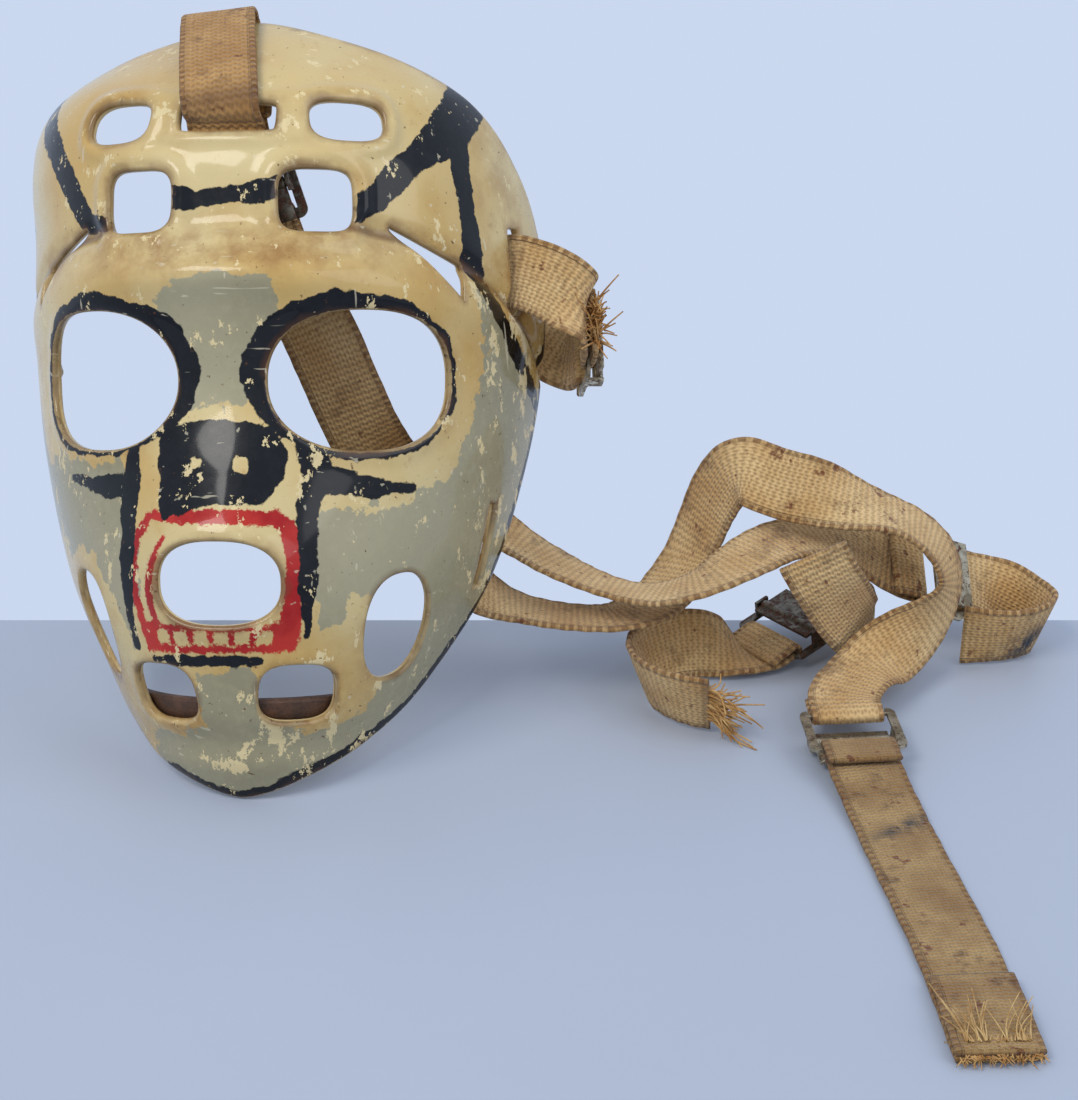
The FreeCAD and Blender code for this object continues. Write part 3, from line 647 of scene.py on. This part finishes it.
def webbing_material(name, rib, light, dark, knit=False, grime=0.5):
    """Ribbed webbing: along and across are millimetres on the strap, stain and ink are shares; the stain
    share holds painted shade as well as real stains.
    """
    m = Nodes(name)
    along, across = m.value("along"), m.value("across")
    wobble = m.times(m.math("SUBTRACT", m.noise(300, 2, 0.5), 0.5), 0.9)
    rows = m.times(m.plus(along, wobble), 2 * math.pi / rib)
    pitch = 1.5 if knit else 1.25
    columns = m.plus(across, m.times(wobble, 0.5))
    columns = m.times(columns, 2 * math.pi / pitch)
    # neighbouring columns step by half a row, as in a rib weave
    shift = m.times(m.math("SINE", m.times(columns, 0.5)), 1.2 if knit else 0.7)
    row_wave = m.math("MULTIPLY_ADD", m.math("SINE", m.plus(rows, shift)), 0.5, 0.5)
    column_wave = m.math("MULTIPLY_ADD", m.math("SINE", columns), 0.5, 0.5)
    weave = m.plus(m.times(row_wave, 0.65), m.times(column_wave, 0.35))
    fluff = m.noise(2600, 3, 0.7)
    height = m.plus(weave, m.times(fluff, 0.55))
    # selvedge: a smooth band with one line of stitches
    side = m.math("ABSOLUTE", across)
    band = m.ramp(side, 10.2, 10.8)
    groove = m.ramp(m.math("ABSOLUTE", m.math("SUBTRACT", side, 10.3)), 0.15, 0.5, 1.0, 0.0)
    stitch = m.ramp(m.math("SINE", m.times(along, 2 * math.pi / 3.0)), -0.1, 0.3)
    seam = m.times(groove, 0.8)
    height = m.math("SUBTRACT", height, m.times(seam, 0.8))
    height = m.plus(height, m.times(m.times(band, stitch), 0.35))
    cloud = m.noise(45, 4, 0.6)
    fine = m.noise(500, 4, 0.65)
    colour = m.mix(m.ramp(cloud, 0.36, 0.66), light, dark)
    # painted shade in the hollows of the weave: darker where the ribs sink
    colour = m.mix(m.ramp(weave, 0.10, 0.6, 0.5, 0.0), colour, rgb(142, 102, 58))
    colour = m.mix(m.ramp(fine, 0.52, 0.72, 0.0, 0.4), colour, rgb(136, 98, 56))
    patches = m.ramp(m.noise(70, 4, 0.7, offset=(4, 2, 1)), 0.56, 0.68)
    colour = m.mix(m.times(patches, grime), colour, rgb(96, 62, 34))
    colour = m.mix(m.times(m.ramp(side, 9.0, 12.5), 0.30), colour, rgb(126, 86, 46))
    # painted shade in the gaps between the raised stitches of the selvedge
    gaps = m.times(band, m.math("SUBTRACT", 1.0, stitch))
    colour = m.mix(m.times(gaps, 0.6), colour, rgb(112, 72, 36))
    rust = m.ramp(m.noise(190, 3, 0.6, offset=(1, 6, 3)), 0.64, 0.69, 0.0, 0.75)
    colour = m.mix(rust, colour, rgb(104, 46, 24))
    # darker brown for real stains, and painted shade where the crown tail strap runs inside the shell
    colour = m.mix(m.times(m.value("stain_and_shade"), 0.85), colour, rgb(92, 62, 40))
    soaked = m.ramp(m.noise(260, 3, 0.6), 0.35, 0.5)
    colour = m.mix(m.times(m.value("ink"), soaked), colour, rgb(40, 44, 52))
    bump = m.bump(height, 1.0, 0.0007)
    m.set(Base_Color=colour, Roughness=m.ramp(fine, 0.3, 0.7, 0.82, 0.95), Normal=bump)
    m.set(Sheen_Weight=0.15, Sheen_Roughness=0.5, Specular_IOR_Level=0.2)
    return m.material


def thread_material(name, light, dark):
    m = Nodes(name)
    colour = m.mix(m.ramp(m.noise(240, 3, 0.6), 0.35, 0.65), light, dark)
    bump = m.bump(m.noise(4000, 2, 0.6), 0.5, 0.0001)
    m.set(Base_Color=colour, Roughness=m.ramp(m.noise(900, 2, 0.5), 0.3, 0.7, 0.75, 0.95), Normal=bump)
    m.set(Specular_IOR_Level=0.2)
    return m.material


def metal_material(name, bright, tarnish, rust_share):
    m = Nodes(name)
    fine = m.noise(1500, 4, 0.65)
    cloud = m.noise(220, 4, 0.6)
    colour = m.mix(m.ramp(cloud, 0.38, 0.62), bright, tarnish)
    spots = m.plus(m.noise(420, 5, 0.7, offset=(1, 5, 2)), m.times(fine, 0.15))
    rust = m.ramp(spots, 0.66 - rust_share, 0.72 - rust_share)
    colour = m.mix(rust, colour, m.mix(m.ramp(fine, 0.35, 0.65), rgb(92, 52, 26), rgb(58, 38, 26)))
    rough = m.ramp(cloud, 0.3, 0.7, 0.26, 0.5)
    rough = m.plus(rough, m.times(rust, 0.35))
    bump = m.bump(fine, 0.35, 0.00012)
    bump = m.bump(rust, 0.4, 0.00015, bump)
    m.set(Base_Color=colour, Roughness=rough, Metallic=m.ramp(rust, 0.0, 1.0, 0.95, 0.15), Normal=bump)
    return m.material


def leather_material():
    m = Nodes("worn_leather")
    grain = m.voronoi(900)
    cloud = m.noise(90, 4, 0.6)
    colour = m.mix(m.ramp(cloud, 0.35, 0.65), rgb(96, 62, 38), rgb(58, 40, 28))
    colour = m.mix(m.ramp(grain, 0.1, 0.5, 0.4, 0.0), colour, rgb(36, 24, 16))
    bump = m.bump(grain, 0.5, 0.0003)
    m.set(Base_Color=colour, Roughness=m.ramp(cloud, 0.3, 0.7, 0.5, 0.75), Normal=bump)
    return m.material


def floor_material():
    m = Nodes("table_top")
    colour = m.mix(m.ramp(m.noise(3.0, 2, 0.5), 0.35, 0.65), rgb(169, 176, 188), rgb(175, 182, 194))
    m.set(Base_Color=colour, Roughness=m.ramp(m.noise(60, 2, 0.5), 0.3, 0.7, 0.42, 0.5))
    m.set(Specular_IOR_Level=0.3)
    return m.material


# ---------------------------------------------------------------- buckle places and routes
def frame_at(origin, along, normal):
    x = Vector(along).normalized()
    y = Vector(normal).cross(x).normalized()
    z = x.cross(y)
    turn = Matrix((x, y, z)).transposed()
    return Vector(origin), turn


def along_mask(x, y, z):
    return MASK_TURN @ Vector((x, y, z))


BUCKLES = {
    "crown": frame_at(on_mask(5, -76, 196), along_mask(0.30, 0.12, -0.95), along_mask(0, -1, -0.12)),
    "temple": frame_at(on_mask(104.5, -2, 151), along_mask(0.22, -0.92, 0.32), along_mask(0.97, 0.24, 0)),
    "tail": frame_at((203, 33, 9), (0.08, -0.985, -0.06), (0, 0.06, -1)),
    "knot": frame_at((190, 109, 9), (0.75, 0.62, 0.20), (-0.25, -0.25, 0.93)),
    "side": frame_at((243, 113, 29), (0.85, 0.35, -0.40), (0.2, -0.62, 0.75)),
}
WEB_WIDTH = 25.0
WEB_THICKNESS = 2.0
WEB_LIFT = 1.9
FOLD_X = 7.1
TAIL_X = 24.0


def fold_points(buckle, local, side):
    place, turn = BUCKLES[buckle]
    across = turn @ Vector((0, side, 0))
    return [(turn @ Vector((x, 0, z)) + place, across) for x, z in local]


def sewn_fold(buckle, reach=TAIL_X, side=1):
    turn = [(-reach, -WEB_LIFT), (-FOLD_X, -WEB_LIFT), (-FOLD_X, WEB_LIFT)]
    return fold_points(buckle, turn + [(-FOLD_X - 7, 1.8), (-FOLD_X - 14, 0.9)], side)


def threaded_fold(buckle, leaves=1, side=1):
    turn = [(20, -1.4), (FOLD_X, -WEB_LIFT), (FOLD_X, WEB_LIFT), (18, WEB_LIFT)]
    return fold_points(buckle, [(x, z * leaves) for x, z in turn], side)


def table(points):
    return [(Vector(p[:3]), Vector(p[3:])) for p in points]


def masked(points):
    return [(on_mask(*p[:3]), along_mask(*p[3:])) for p in points]


def wall_run(angle, heights, depth):
    turn = math.radians(angle)
    across = along_mask(math.cos(turn), math.sin(turn), 0)
    ones = np.full(len(heights), float(angle))
    tall = np.array(heights, float)
    points = surface(ones, tall) - normals(ones, tall) * depth
    return [(on_mask(*p), across) for p in points]


ROUTES = {
    "crown_strap": masked([
        (-1, -80.5, 203, 1, 0, 0), (-1, -80.5, 217.0, 1, 0, 0), (-1, -89.4, 220.6, 1, 0, 0),
        (-3.5, -82.4, 232.8, 1, 0, 0), (-9, -62.8, 249.3, 1, 0, 0.05), (-13.5, -45.5, 261.4, 1, 0, 0.1),
        (-14, -34.8, 256.5, 1, 0, 0.1), (-8, -53.0, 238.0, 1, 0, 0.05), (-1, -70.5, 221.0, 1, 0, 0),
    ]) + sewn_fold("crown"),
    "crown_tail_strap": threaded_fold("crown") + table([
        (24, 60, 146, 1, 0, 0.6), (32, 64, 121, 1, 0, 0.5), (40, 70, 97, 0.9, 0.1, 0.5),
        (52, 81, 75, 0.6, 0.3, 0.75), (66, 97, 69, 0.25, 0.75, 0.5), (89, 95, 50.5, 0, 1, 0.05),
        (110, 82, 43.5, 0.05, 1, -0.1), (132, 76, 38, 0, 1, -0.2), (150, 71, 44, -0.1, 1, -0.15),
        (165, 76, 50.5, -0.4, 0.9, 0), (182, 92, 53, -0.5, 0.85, 0.1), (198, 102, 50, -0.4, 0.9, 0.2),
        (211, 106, 45, -0.1, 0.85, 0.5),
    ]) + sewn_fold("side", 18),
    "jaw_strap": table([
        (68.5, 67, 62, 0, 0.37, 0.93), (70.5, 75, 46, 0.1, 0.7, 0.5), (86, 79, 33, 0, 1, -0.05),
        (106, 77, 29.5, 0, 1, -0.12), (127, 77, 29, -0.05, 1, -0.1), (141, 94, 28.5, -0.3, 0.95, 0),
        (150, 111, 34, -0.5, 0.8, 0.1), (155.5, 114, 47, -0.6, 0.8, 0), (160, 112, 62, -0.6, 0.8, 0.1),
        (167, 105, 76, -0.35, 0.65, 0.4), (181, 98, 72, 0, 0.45, 0.9), (195, 95, 70, 0.05, 0.55, 0.8),
        (208, 94, 66, 0.1, 0.85, 0.4), (221, 93, 63, 0.15, 0.97, 0.1), (233, 92, 57, 0.3, 0.93, 0.05),
        (242, 90, 47, 0.45, 0.85, -0.1), (244, 86, 36, 0.45, 0.8, -0.4), (236, 81, 26, 0.6, 0.4, -0.6),
        (223, 75, 18.5, 0.6, -0.2, -0.7), (211, 67, 14.5, 0.7, -0.7, 0),
    ]) + sewn_fold("tail", 20, -1),
    "tail_strap": threaded_fold("tail", 1, -1) + table([
        (208, -5, 2.2, 1, 0.15, 0), (211, -28, 1.3, 1, 0.15, 0), (215, -58, 1.3, 1, 0.12, 0),
        (219, -90, 1.3, 1, 0.08, 0), (221, -131, 1.3, 1, 0.04, 0),
    ]),
    "loose_strap": table([
        (155, 43.5, 13.2, 0.05, -0.35, 0.94), (148, 45, 13.2, -0.1, -0.35, 0.94),
        (137, 53, 13.2, -0.3, -0.25, 0.94),
        (131, 65, 13.2, -0.38, 0, 0.94), (134, 79, 13.2, -0.3, 0.2, 0.94), (145, 88, 13.2, -0.2, 0.35, 0.94),
        (158, 93, 11.4, -0.3, 0.45, 0.86),
    ]) + sewn_fold("knot", 20),
    "knot_strap": threaded_fold("knot") + table([
        (213, 123, 15, -0.2, 0.3, 0.9), (218, 116, 13.6, 0, 0, 1), (220, 105, 13.6, 0, 0, 1),
        (216, 96, 13.6, 0, 0, 1), (212, 87, 20, 0.35, 0.2, 0.9), (205, 79, 31, 0.7, 0.2, 0.6),
        (200, 73, 41, 0.9, 0.1, 0.4), (195, 70, 49, 0.93, 0, 0.35), (191, 70, 57, 0.93, 0, 0.35),
    ]),
    "side_strap": threaded_fold("side") + table([
        (271, 122, 17, 0, 0.3, 0.95), (281, 116, 13.5, 0.2, 0.1, 0.95), (284, 105, 13.2, 0.35, 0, 0.94),
        (275, 96, 13.2, 0.2, -0.3, 0.94), (262, 93.5, 13.2, 0, -0.3, 0.95),
        (251, 95.5, 13.2, 0, -0.12, 0.99),
    ]),
    "temple_strap_right": threaded_fold("temple", -1) + masked([
        (107, -28, 163, 0, 0, -1), (95, -29.4, 171.5, 0, 0, -1), (79, -24.4, 176, 0, 0, -1),
        (77.5, -10, 169, 0, 0, -1), (80, 5, 161, 0, 0, -1), (87, 14, 153.5, 0, 0, -1),
        (95, 17, 148, 0, 0, -1),
    ]) + sewn_fold("temple", 14),
    "temple_strap_left": wall_run(-69, (169, 151, 132, 112), 5.8),
}
STEPS_PER_POINT = 14


def spline_points(name, controls):
    """Points of a NURBS spline through control points, read from a curve with no bevel."""
    curve = bpy.data.curves.new(name, "CURVE")
    curve.dimensions = "3D"
    spline = curve.splines.new("NURBS")
    spline.points.add(len(controls) - 1)
    for point, place in zip(spline.points, controls):
        point.co = (*place, 1.0)
    spline.order_u = 3
    spline.use_endpoint_u = True
    spline.resolution_u = STEPS_PER_POINT
    holder = add_object(name, curve)
    bpy.context.view_layer.update()
    mesh = bpy.data.meshes.new_from_object(holder.evaluated_get(bpy.context.evaluated_depsgraph_get()))
    points = [v.co.copy() for v in mesh.vertices]
    bpy.data.meshes.remove(mesh)
    bpy.data.objects.remove(holder)
    bpy.data.curves.remove(curve)
    return points


def strap_rings(route):
    """Centre points and the across and up directions of a strap, row frame."""
    centre = spline_points("route_line", [row(p) for p, _ in route])
    across = spline_points("route_across", [a for _, a in route])
    rings = []
    for k, point in enumerate(centre):
        ahead = centre[min(k + 1, len(centre) - 1)] - centre[max(k - 1, 0)]
        ahead.normalize()
        side = across[k] - ahead * across[k].dot(ahead)
        side.normalize()
        rings.append((point, side, ahead.cross(side)))
    return rings


def make_strap(name, route, wave=0.35, stains_and_shade=(), ink=()):
    """Woven ribbon along a route. wave is how far its worn edges stray. stains are (along, size, share) of
    darkening, real stains and painted shade alike, and ink marks are (along, size, across, reach), in
    millimetres."""
    rings = strap_rings(route)
    half, thick = WEB_WIDTH / 2, WEB_THICKNESS / 2
    columns = 14
    section = []
    for k in range(columns + 1):
        s = -1 + 2 * k / columns
        section.append((s * (half - 0.7), thick * (1.0 - 0.12 * abs(s) ** 3)))
    section += [(half - 0.2, thick * 0.62), (half, 0.0), (half - 0.2, -thick * 0.62)]
    section += [(x, -z) for x, z in reversed(section[:columns + 1])]
    section += [(-half + 0.2, -thick * 0.62), (-half, 0.0), (-half + 0.2, thick * 0.62)]
    seed = rng.random() * 10
    vertices, along, across, stain_and_shade, mark = [], [], [], [], []
    length = 0.0
    for k, (point, side, up) in enumerate(rings):
        if k:
            length += (point - rings[k - 1][0]).length / MM
        wobble = wave * (math.sin(length * 0.33 + seed) + 0.6 * math.sin(length * 0.81 + 2 * seed))
        for x, z in section:
            ripple = 0.12 * math.sin(length * 0.9 + x * 0.5 + seed) * abs(x / half) ** 2
            out_to = x * (1 + wobble * 0.012)
            vertices.append(point + side * (out_to * MM) + up * ((z + ripple) * MM))
            along.append(length)
            across.append(x)
            # share of darkening: real stains, and painted shade along a strap's run inside the shell
            stain_and_shade.append(max([share * bell(length, at, size) for at, size, share in stains_and_shade] + [0.0]))
            marks = [bell(length, at - x * 0.5, size) * bell(x, off, reach) for at, size, off, reach in ink]
            mark.append(max(marks + [0.0]))
    n = len(section)
    faces = []
    for k in range(len(rings) - 1):
        for j in range(n):
            i = (j + 1) % n
            faces.append([k * n + j, k * n + i, (k + 1) * n + i, (k + 1) * n + j])
    faces.append(list(range(n)))
    faces.append([(len(rings) - 1) * n + j for j in reversed(range(n))])
    piece = new_mesh(name, vertices, faces)
    for label, values in (("along", along), ("across", across), ("stain_and_shade", stain_and_shade), ("ink", mark)):
        attribute(piece, label, values)
    bm = bmesh.new()
    bm.from_mesh(piece.data)
    bmesh.ops.recalc_face_normals(bm, faces=bm.faces)
    bm.to_mesh(piece.data)
    bm.free()
    return piece, [p for p, _, _ in rings], length


def make_threads(name, roots, reach, count, spread, droop, radius, curl):
    """Tuft of loose threads that stays above the table. roots are the tuft's middle, its out, side and up
    directions in the row frame, and its width in millimetres."""
    curve = bpy.data.curves.new(name, "CURVE")
    curve.dimensions = "3D"
    curve.bevel_depth = radius * MM
    curve.bevel_resolution = 1
    curve.resolution_u = 4
    point, out, side, up, width = roots
    for _ in range(count):
        start = point + side * (rng.uniform(-0.5, 0.5) * width * MM) + up * (rng.uniform(-0.7, 0.7) * MM)
        heading = out + side * rng.uniform(-spread, spread) + up * rng.uniform(-spread, spread) * 0.7
        heading = heading.normalized()
        length = reach * rng.uniform(0.45, 1.0)
        spline = curve.splines.new("NURBS")
        knots = 5
        spline.points.add(knots - 1)
        twist = Vector((rng.uniform(-1, 1), rng.uniform(-1, 1), rng.uniform(-1, 1))) * curl
        for k, knot in enumerate(spline.points):
            t = k / (knots - 1)
            place = start + heading * (length * t * MM) + twist * (length * t * t * 0.4 * MM)
            place.z = max(place.z - droop * (t * t) * length * MM, TABLE_Z + radius * MM)
            knot.co = (*place, 1.0)
            knot.radius = 1.0 - 0.45 * t
        spline.order_u = 3
        spline.use_endpoint_u = True
    return add_object(name, curve)


def bevelled(node, name, width=0.00022):
    """Copy of a CAD part with its flat faces merged and its edges rounded."""
    source = bpy.data.objects[node]
    bm = bmesh.new()
    bm.from_mesh(source.data)
    bmesh.ops.remove_doubles(bm, verts=bm.verts, dist=1e-6)
    bmesh.ops.dissolve_limit(bm, angle_limit=math.radians(1.5), verts=bm.verts, edges=bm.edges)
    mesh = bpy.data.meshes.new(name)
    bm.to_mesh(mesh)
    bm.free()
    piece = add_object(name, mesh)
    bevel = piece.modifiers.new("round", "BEVEL")
    bevel.width = width
    bevel.segments = 2
    bevel.limit_method = "ANGLE"
    bevel.angle_limit = math.radians(35)
    mesh.polygons.foreach_set("use_smooth", [True] * len(mesh.polygons))
    mesh.set_sharp_from_angle(angle=math.radians(35))
    return piece


def finish_piece(piece, material, body, slot, *nodes):
    piece.data.materials.clear()
    piece.data.materials.append(material)
    if nodes:
        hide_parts(*nodes)
    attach(piece, body)
    return piece


# ---------------------------------------------------------------- camera
CAMERA_PLACE = row((96.6, -586.0, 365.0))
camera_data = bpy.data.cameras.new("camera")
camera = add_object("camera", camera_data)
camera.location = CAMERA_PLACE
camera.rotation_euler = (math.radians(65.0), 0.0, 0.0)
camera_data.sensor_width = 36.0
camera_data.lens = 36.0 * 2100.0 / 1100.0
camera_data.clip_start, camera_data.clip_end = 0.01, 20.0
bpy.context.scene.camera = camera

# ---------------------------------------------------------------- materials in use
PAINT = shell_material()
WEB_TAN = webbing_material("webbing_tan", 2.3, rgb(232, 196, 138), rgb(206, 162, 102))
WEB_TAIL = webbing_material("webbing_tail", 1.5, rgb(190, 156, 102), rgb(148, 112, 66), grime=0.8)
WEB_KNIT = webbing_material("webbing_knit", 2.4, rgb(204, 158, 96), rgb(172, 124, 66), knit=True, grime=0.7)
THREAD = thread_material("thread_tan", rgb(206, 166, 108), rgb(160, 112, 60))
THREAD_PALE = thread_material("thread_pale", rgb(204, 172, 118), rgb(166, 124, 72))
NICKEL = metal_material("worn_nickel", rgb(196, 186, 162), rgb(132, 120, 98), 0.04)
DARK_METAL = metal_material("dark_metal", rgb(120, 112, 98), rgb(78, 70, 58), 0.10)
LEATHER = leather_material()

# ---------------------------------------------------------------- straps
STRAPS = {
    "crown_strap": (WEB_KNIT, "mask", dict(stains_and_shade=((24, 5, 0.7),))),
    # the crown tail strap's long darkening is painted shade along its run inside the shell
    "crown_tail_strap": (WEB_TAN, "mask", dict(stains_and_shade=((70, 60, 0.45),))),
    "jaw_strap": (WEB_TAN, "mask", dict(stains_and_shade=((8, 6, 0.6),))),
    "tail_strap": (WEB_TAIL, "tail", dict(stains_and_shade=((22, 3, 1.0),), ink=((60, 2.4, 3, 11),), wave=0.6)),
    "loose_strap": (WEB_TAN, "mask", dict(stains_and_shade=((0, 3, 0.6), (40, 14, 0.25)))),
    "knot_strap": (WEB_TAN, "mask", dict()),
    "side_strap": (WEB_TAN, "mask", dict(ink=((68, 9, -5, 9),))),
    "temple_strap_right": (WEB_TAN, "mask", dict()),
    "temple_strap_left": (WEB_TAN, "mask", dict()),
}
straps, lines, lengths = {}, {}, {}
for name, (material, body, extra) in STRAPS.items():
    piece, lines[name], lengths[name] = make_strap(name + "_web", ROUTES[name], **extra)
    straps[name] = finish_piece(piece, material, body, "webbing", name)

# ---------------------------------------------------------------- metal
for buckle in BUCKLES:
    for part in ("frame", "pin", "lever"):
        node = "buckle_" + part + "_" + buckle
        body = "lever_" + buckle if part == "lever" else ("tail" if buckle == "tail" else "mask")
        material = DARK_METAL if buckle in ("knot", "crown") else NICKEL
        finish_piece(bevelled(node, node + "_metal"), material, body, "buckle_metal", node)

# ---------------------------------------------------------------- hem and frays
far = ROUTES["tail_strap"][-1]
near = ROUTES["tail_strap"][-2][0]
back = (near - far[0]).normalized()
HEM_LIFT, HEM_LENGTH, HEM_BOW = 2.3, 34, 0.3
lift = Vector((0, 0, HEM_LIFT))
middle = far[0] + back * (HEM_LENGTH / 2) + lift + Vector((HEM_BOW, 0, 0))
hem_route = [(far[0] + lift, far[1]), (middle, far[1]), (far[0] + back * HEM_LENGTH + lift, far[1])]
hem, _, _ = make_strap("tail_hem_web", hem_route, wave=0.5)
finish_piece(hem, WEB_TAIL, "tail", "webbing", "tail_hem")


def strap_start(route):
    end, across = route[0]
    out = (row(end) - row(route[1][0])).normalized()
    side = (across - out * across.dot(out)).normalized()
    return row(end) - out * (1.0 * MM), out, side, out.cross(side), WEB_WIDTH * 0.62


hem_end = row(hem_route[0][0] + back * 3.0) + Vector((0, 0, 1.0 * MM))
hem_across = Vector(far[1]).normalized()
upwards = Vector((0, 0, 1))
towards_buckle = (row(hem_route[2][0]) - row(hem_route[0][0])).normalized()
hem_roots = (hem_end, towards_buckle, hem_across, upwards, 18)
hem_fray = make_threads("tail_end_threads", hem_roots, 13, 64, 0.3, 0.03, radius=0.26, curl=1.6)
finish_piece(hem_fray, THREAD_PALE, "tail", "webbing")
outwards = (row(far[0]) - row(near)).normalized()
end_roots = (row(far[0] + lift * 0.4), outwards, hem_across, upwards, 23)
end_fray = make_threads("tail_edge_threads", end_roots, 3.5, 80, 0.9, 0.02, radius=0.26, curl=1.2)
finish_piece(end_fray, THREAD, "tail", "webbing")
loose_roots = strap_start(ROUTES["loose_strap"])
loose_fray = make_threads("fray_loose_threads", loose_roots, 14, 90, 0.75, 0.2, radius=0.42, curl=1.5)
finish_piece(loose_fray, THREAD, "mask", "webbing", "fray_loose_end")
temple_roots = strap_start(ROUTES["temple_strap_right"])
temple_fray = make_threads("fray_temple_threads", temple_roots, 13, 90, 0.5, 0.2, radius=0.42, curl=1.3)
finish_piece(temple_fray, THREAD, "mask", "webbing", "fray_temple_end")

# ---------------------------------------------------------------- shell and pad
shell = finish_piece(make_shell(), PAINT, "mask", "shell", "mask_shell")
pad = bevelled("chin_pad", "chin_pad_leather", 0.0008)
finish_piece(pad, LEATHER, "mask", "pad", "chin_pad")

# ---------------------------------------------------------------- stage and light
WALL_Y = row((0, 133, 0)).y
SIDE = 3                    # metres from the middle to each free side
corners = [(x, y, TABLE_Z) for x, y in ((-SIDE, -SIDE), (SIDE, -SIDE), (SIDE, WALL_Y), (-SIDE, WALL_Y))]
floor = new_mesh("table_top", corners, [[0, 1, 2, 3]])
floor.data.materials.append(floor_material())

world = bpy.data.worlds.new("studio")
world.use_nodes = True
background = world.node_tree.nodes["Background"]
background.inputs["Color"].default_value = rgb(212, 226, 250)
background.inputs["Strength"].default_value = 0.9
bpy.context.scene.world = world


def area_light(name, place, target, size, power, colour):
    data = bpy.data.lights.new(name, "AREA")
    data.shape = "RECTANGLE"
    data.size, data.size_y = size
    data.energy = power
    data.color = colour
    lamp = add_object(name, data)
    lamp.location = place
    lamp.rotation_euler = (Vector(target) - Vector(place)).to_track_quat("-Z", "Y").to_euler()


area_light("key", (-0.55, -0.75, 1.10), (0.05, 0, -0.02), (0.7, 0.5), 9, (1.0, 0.97, 0.92))
area_light("fill", (0.9, -0.5, 0.7), (0.05, 0, -0.05), (0.8, 0.8), 3.5, (0.96, 0.97, 1.0))
bpy.context.scene.view_settings.view_transform = "Standard"

print("strap lengths, mm:", {name: round(value, 1) for name, value in lengths.items()})
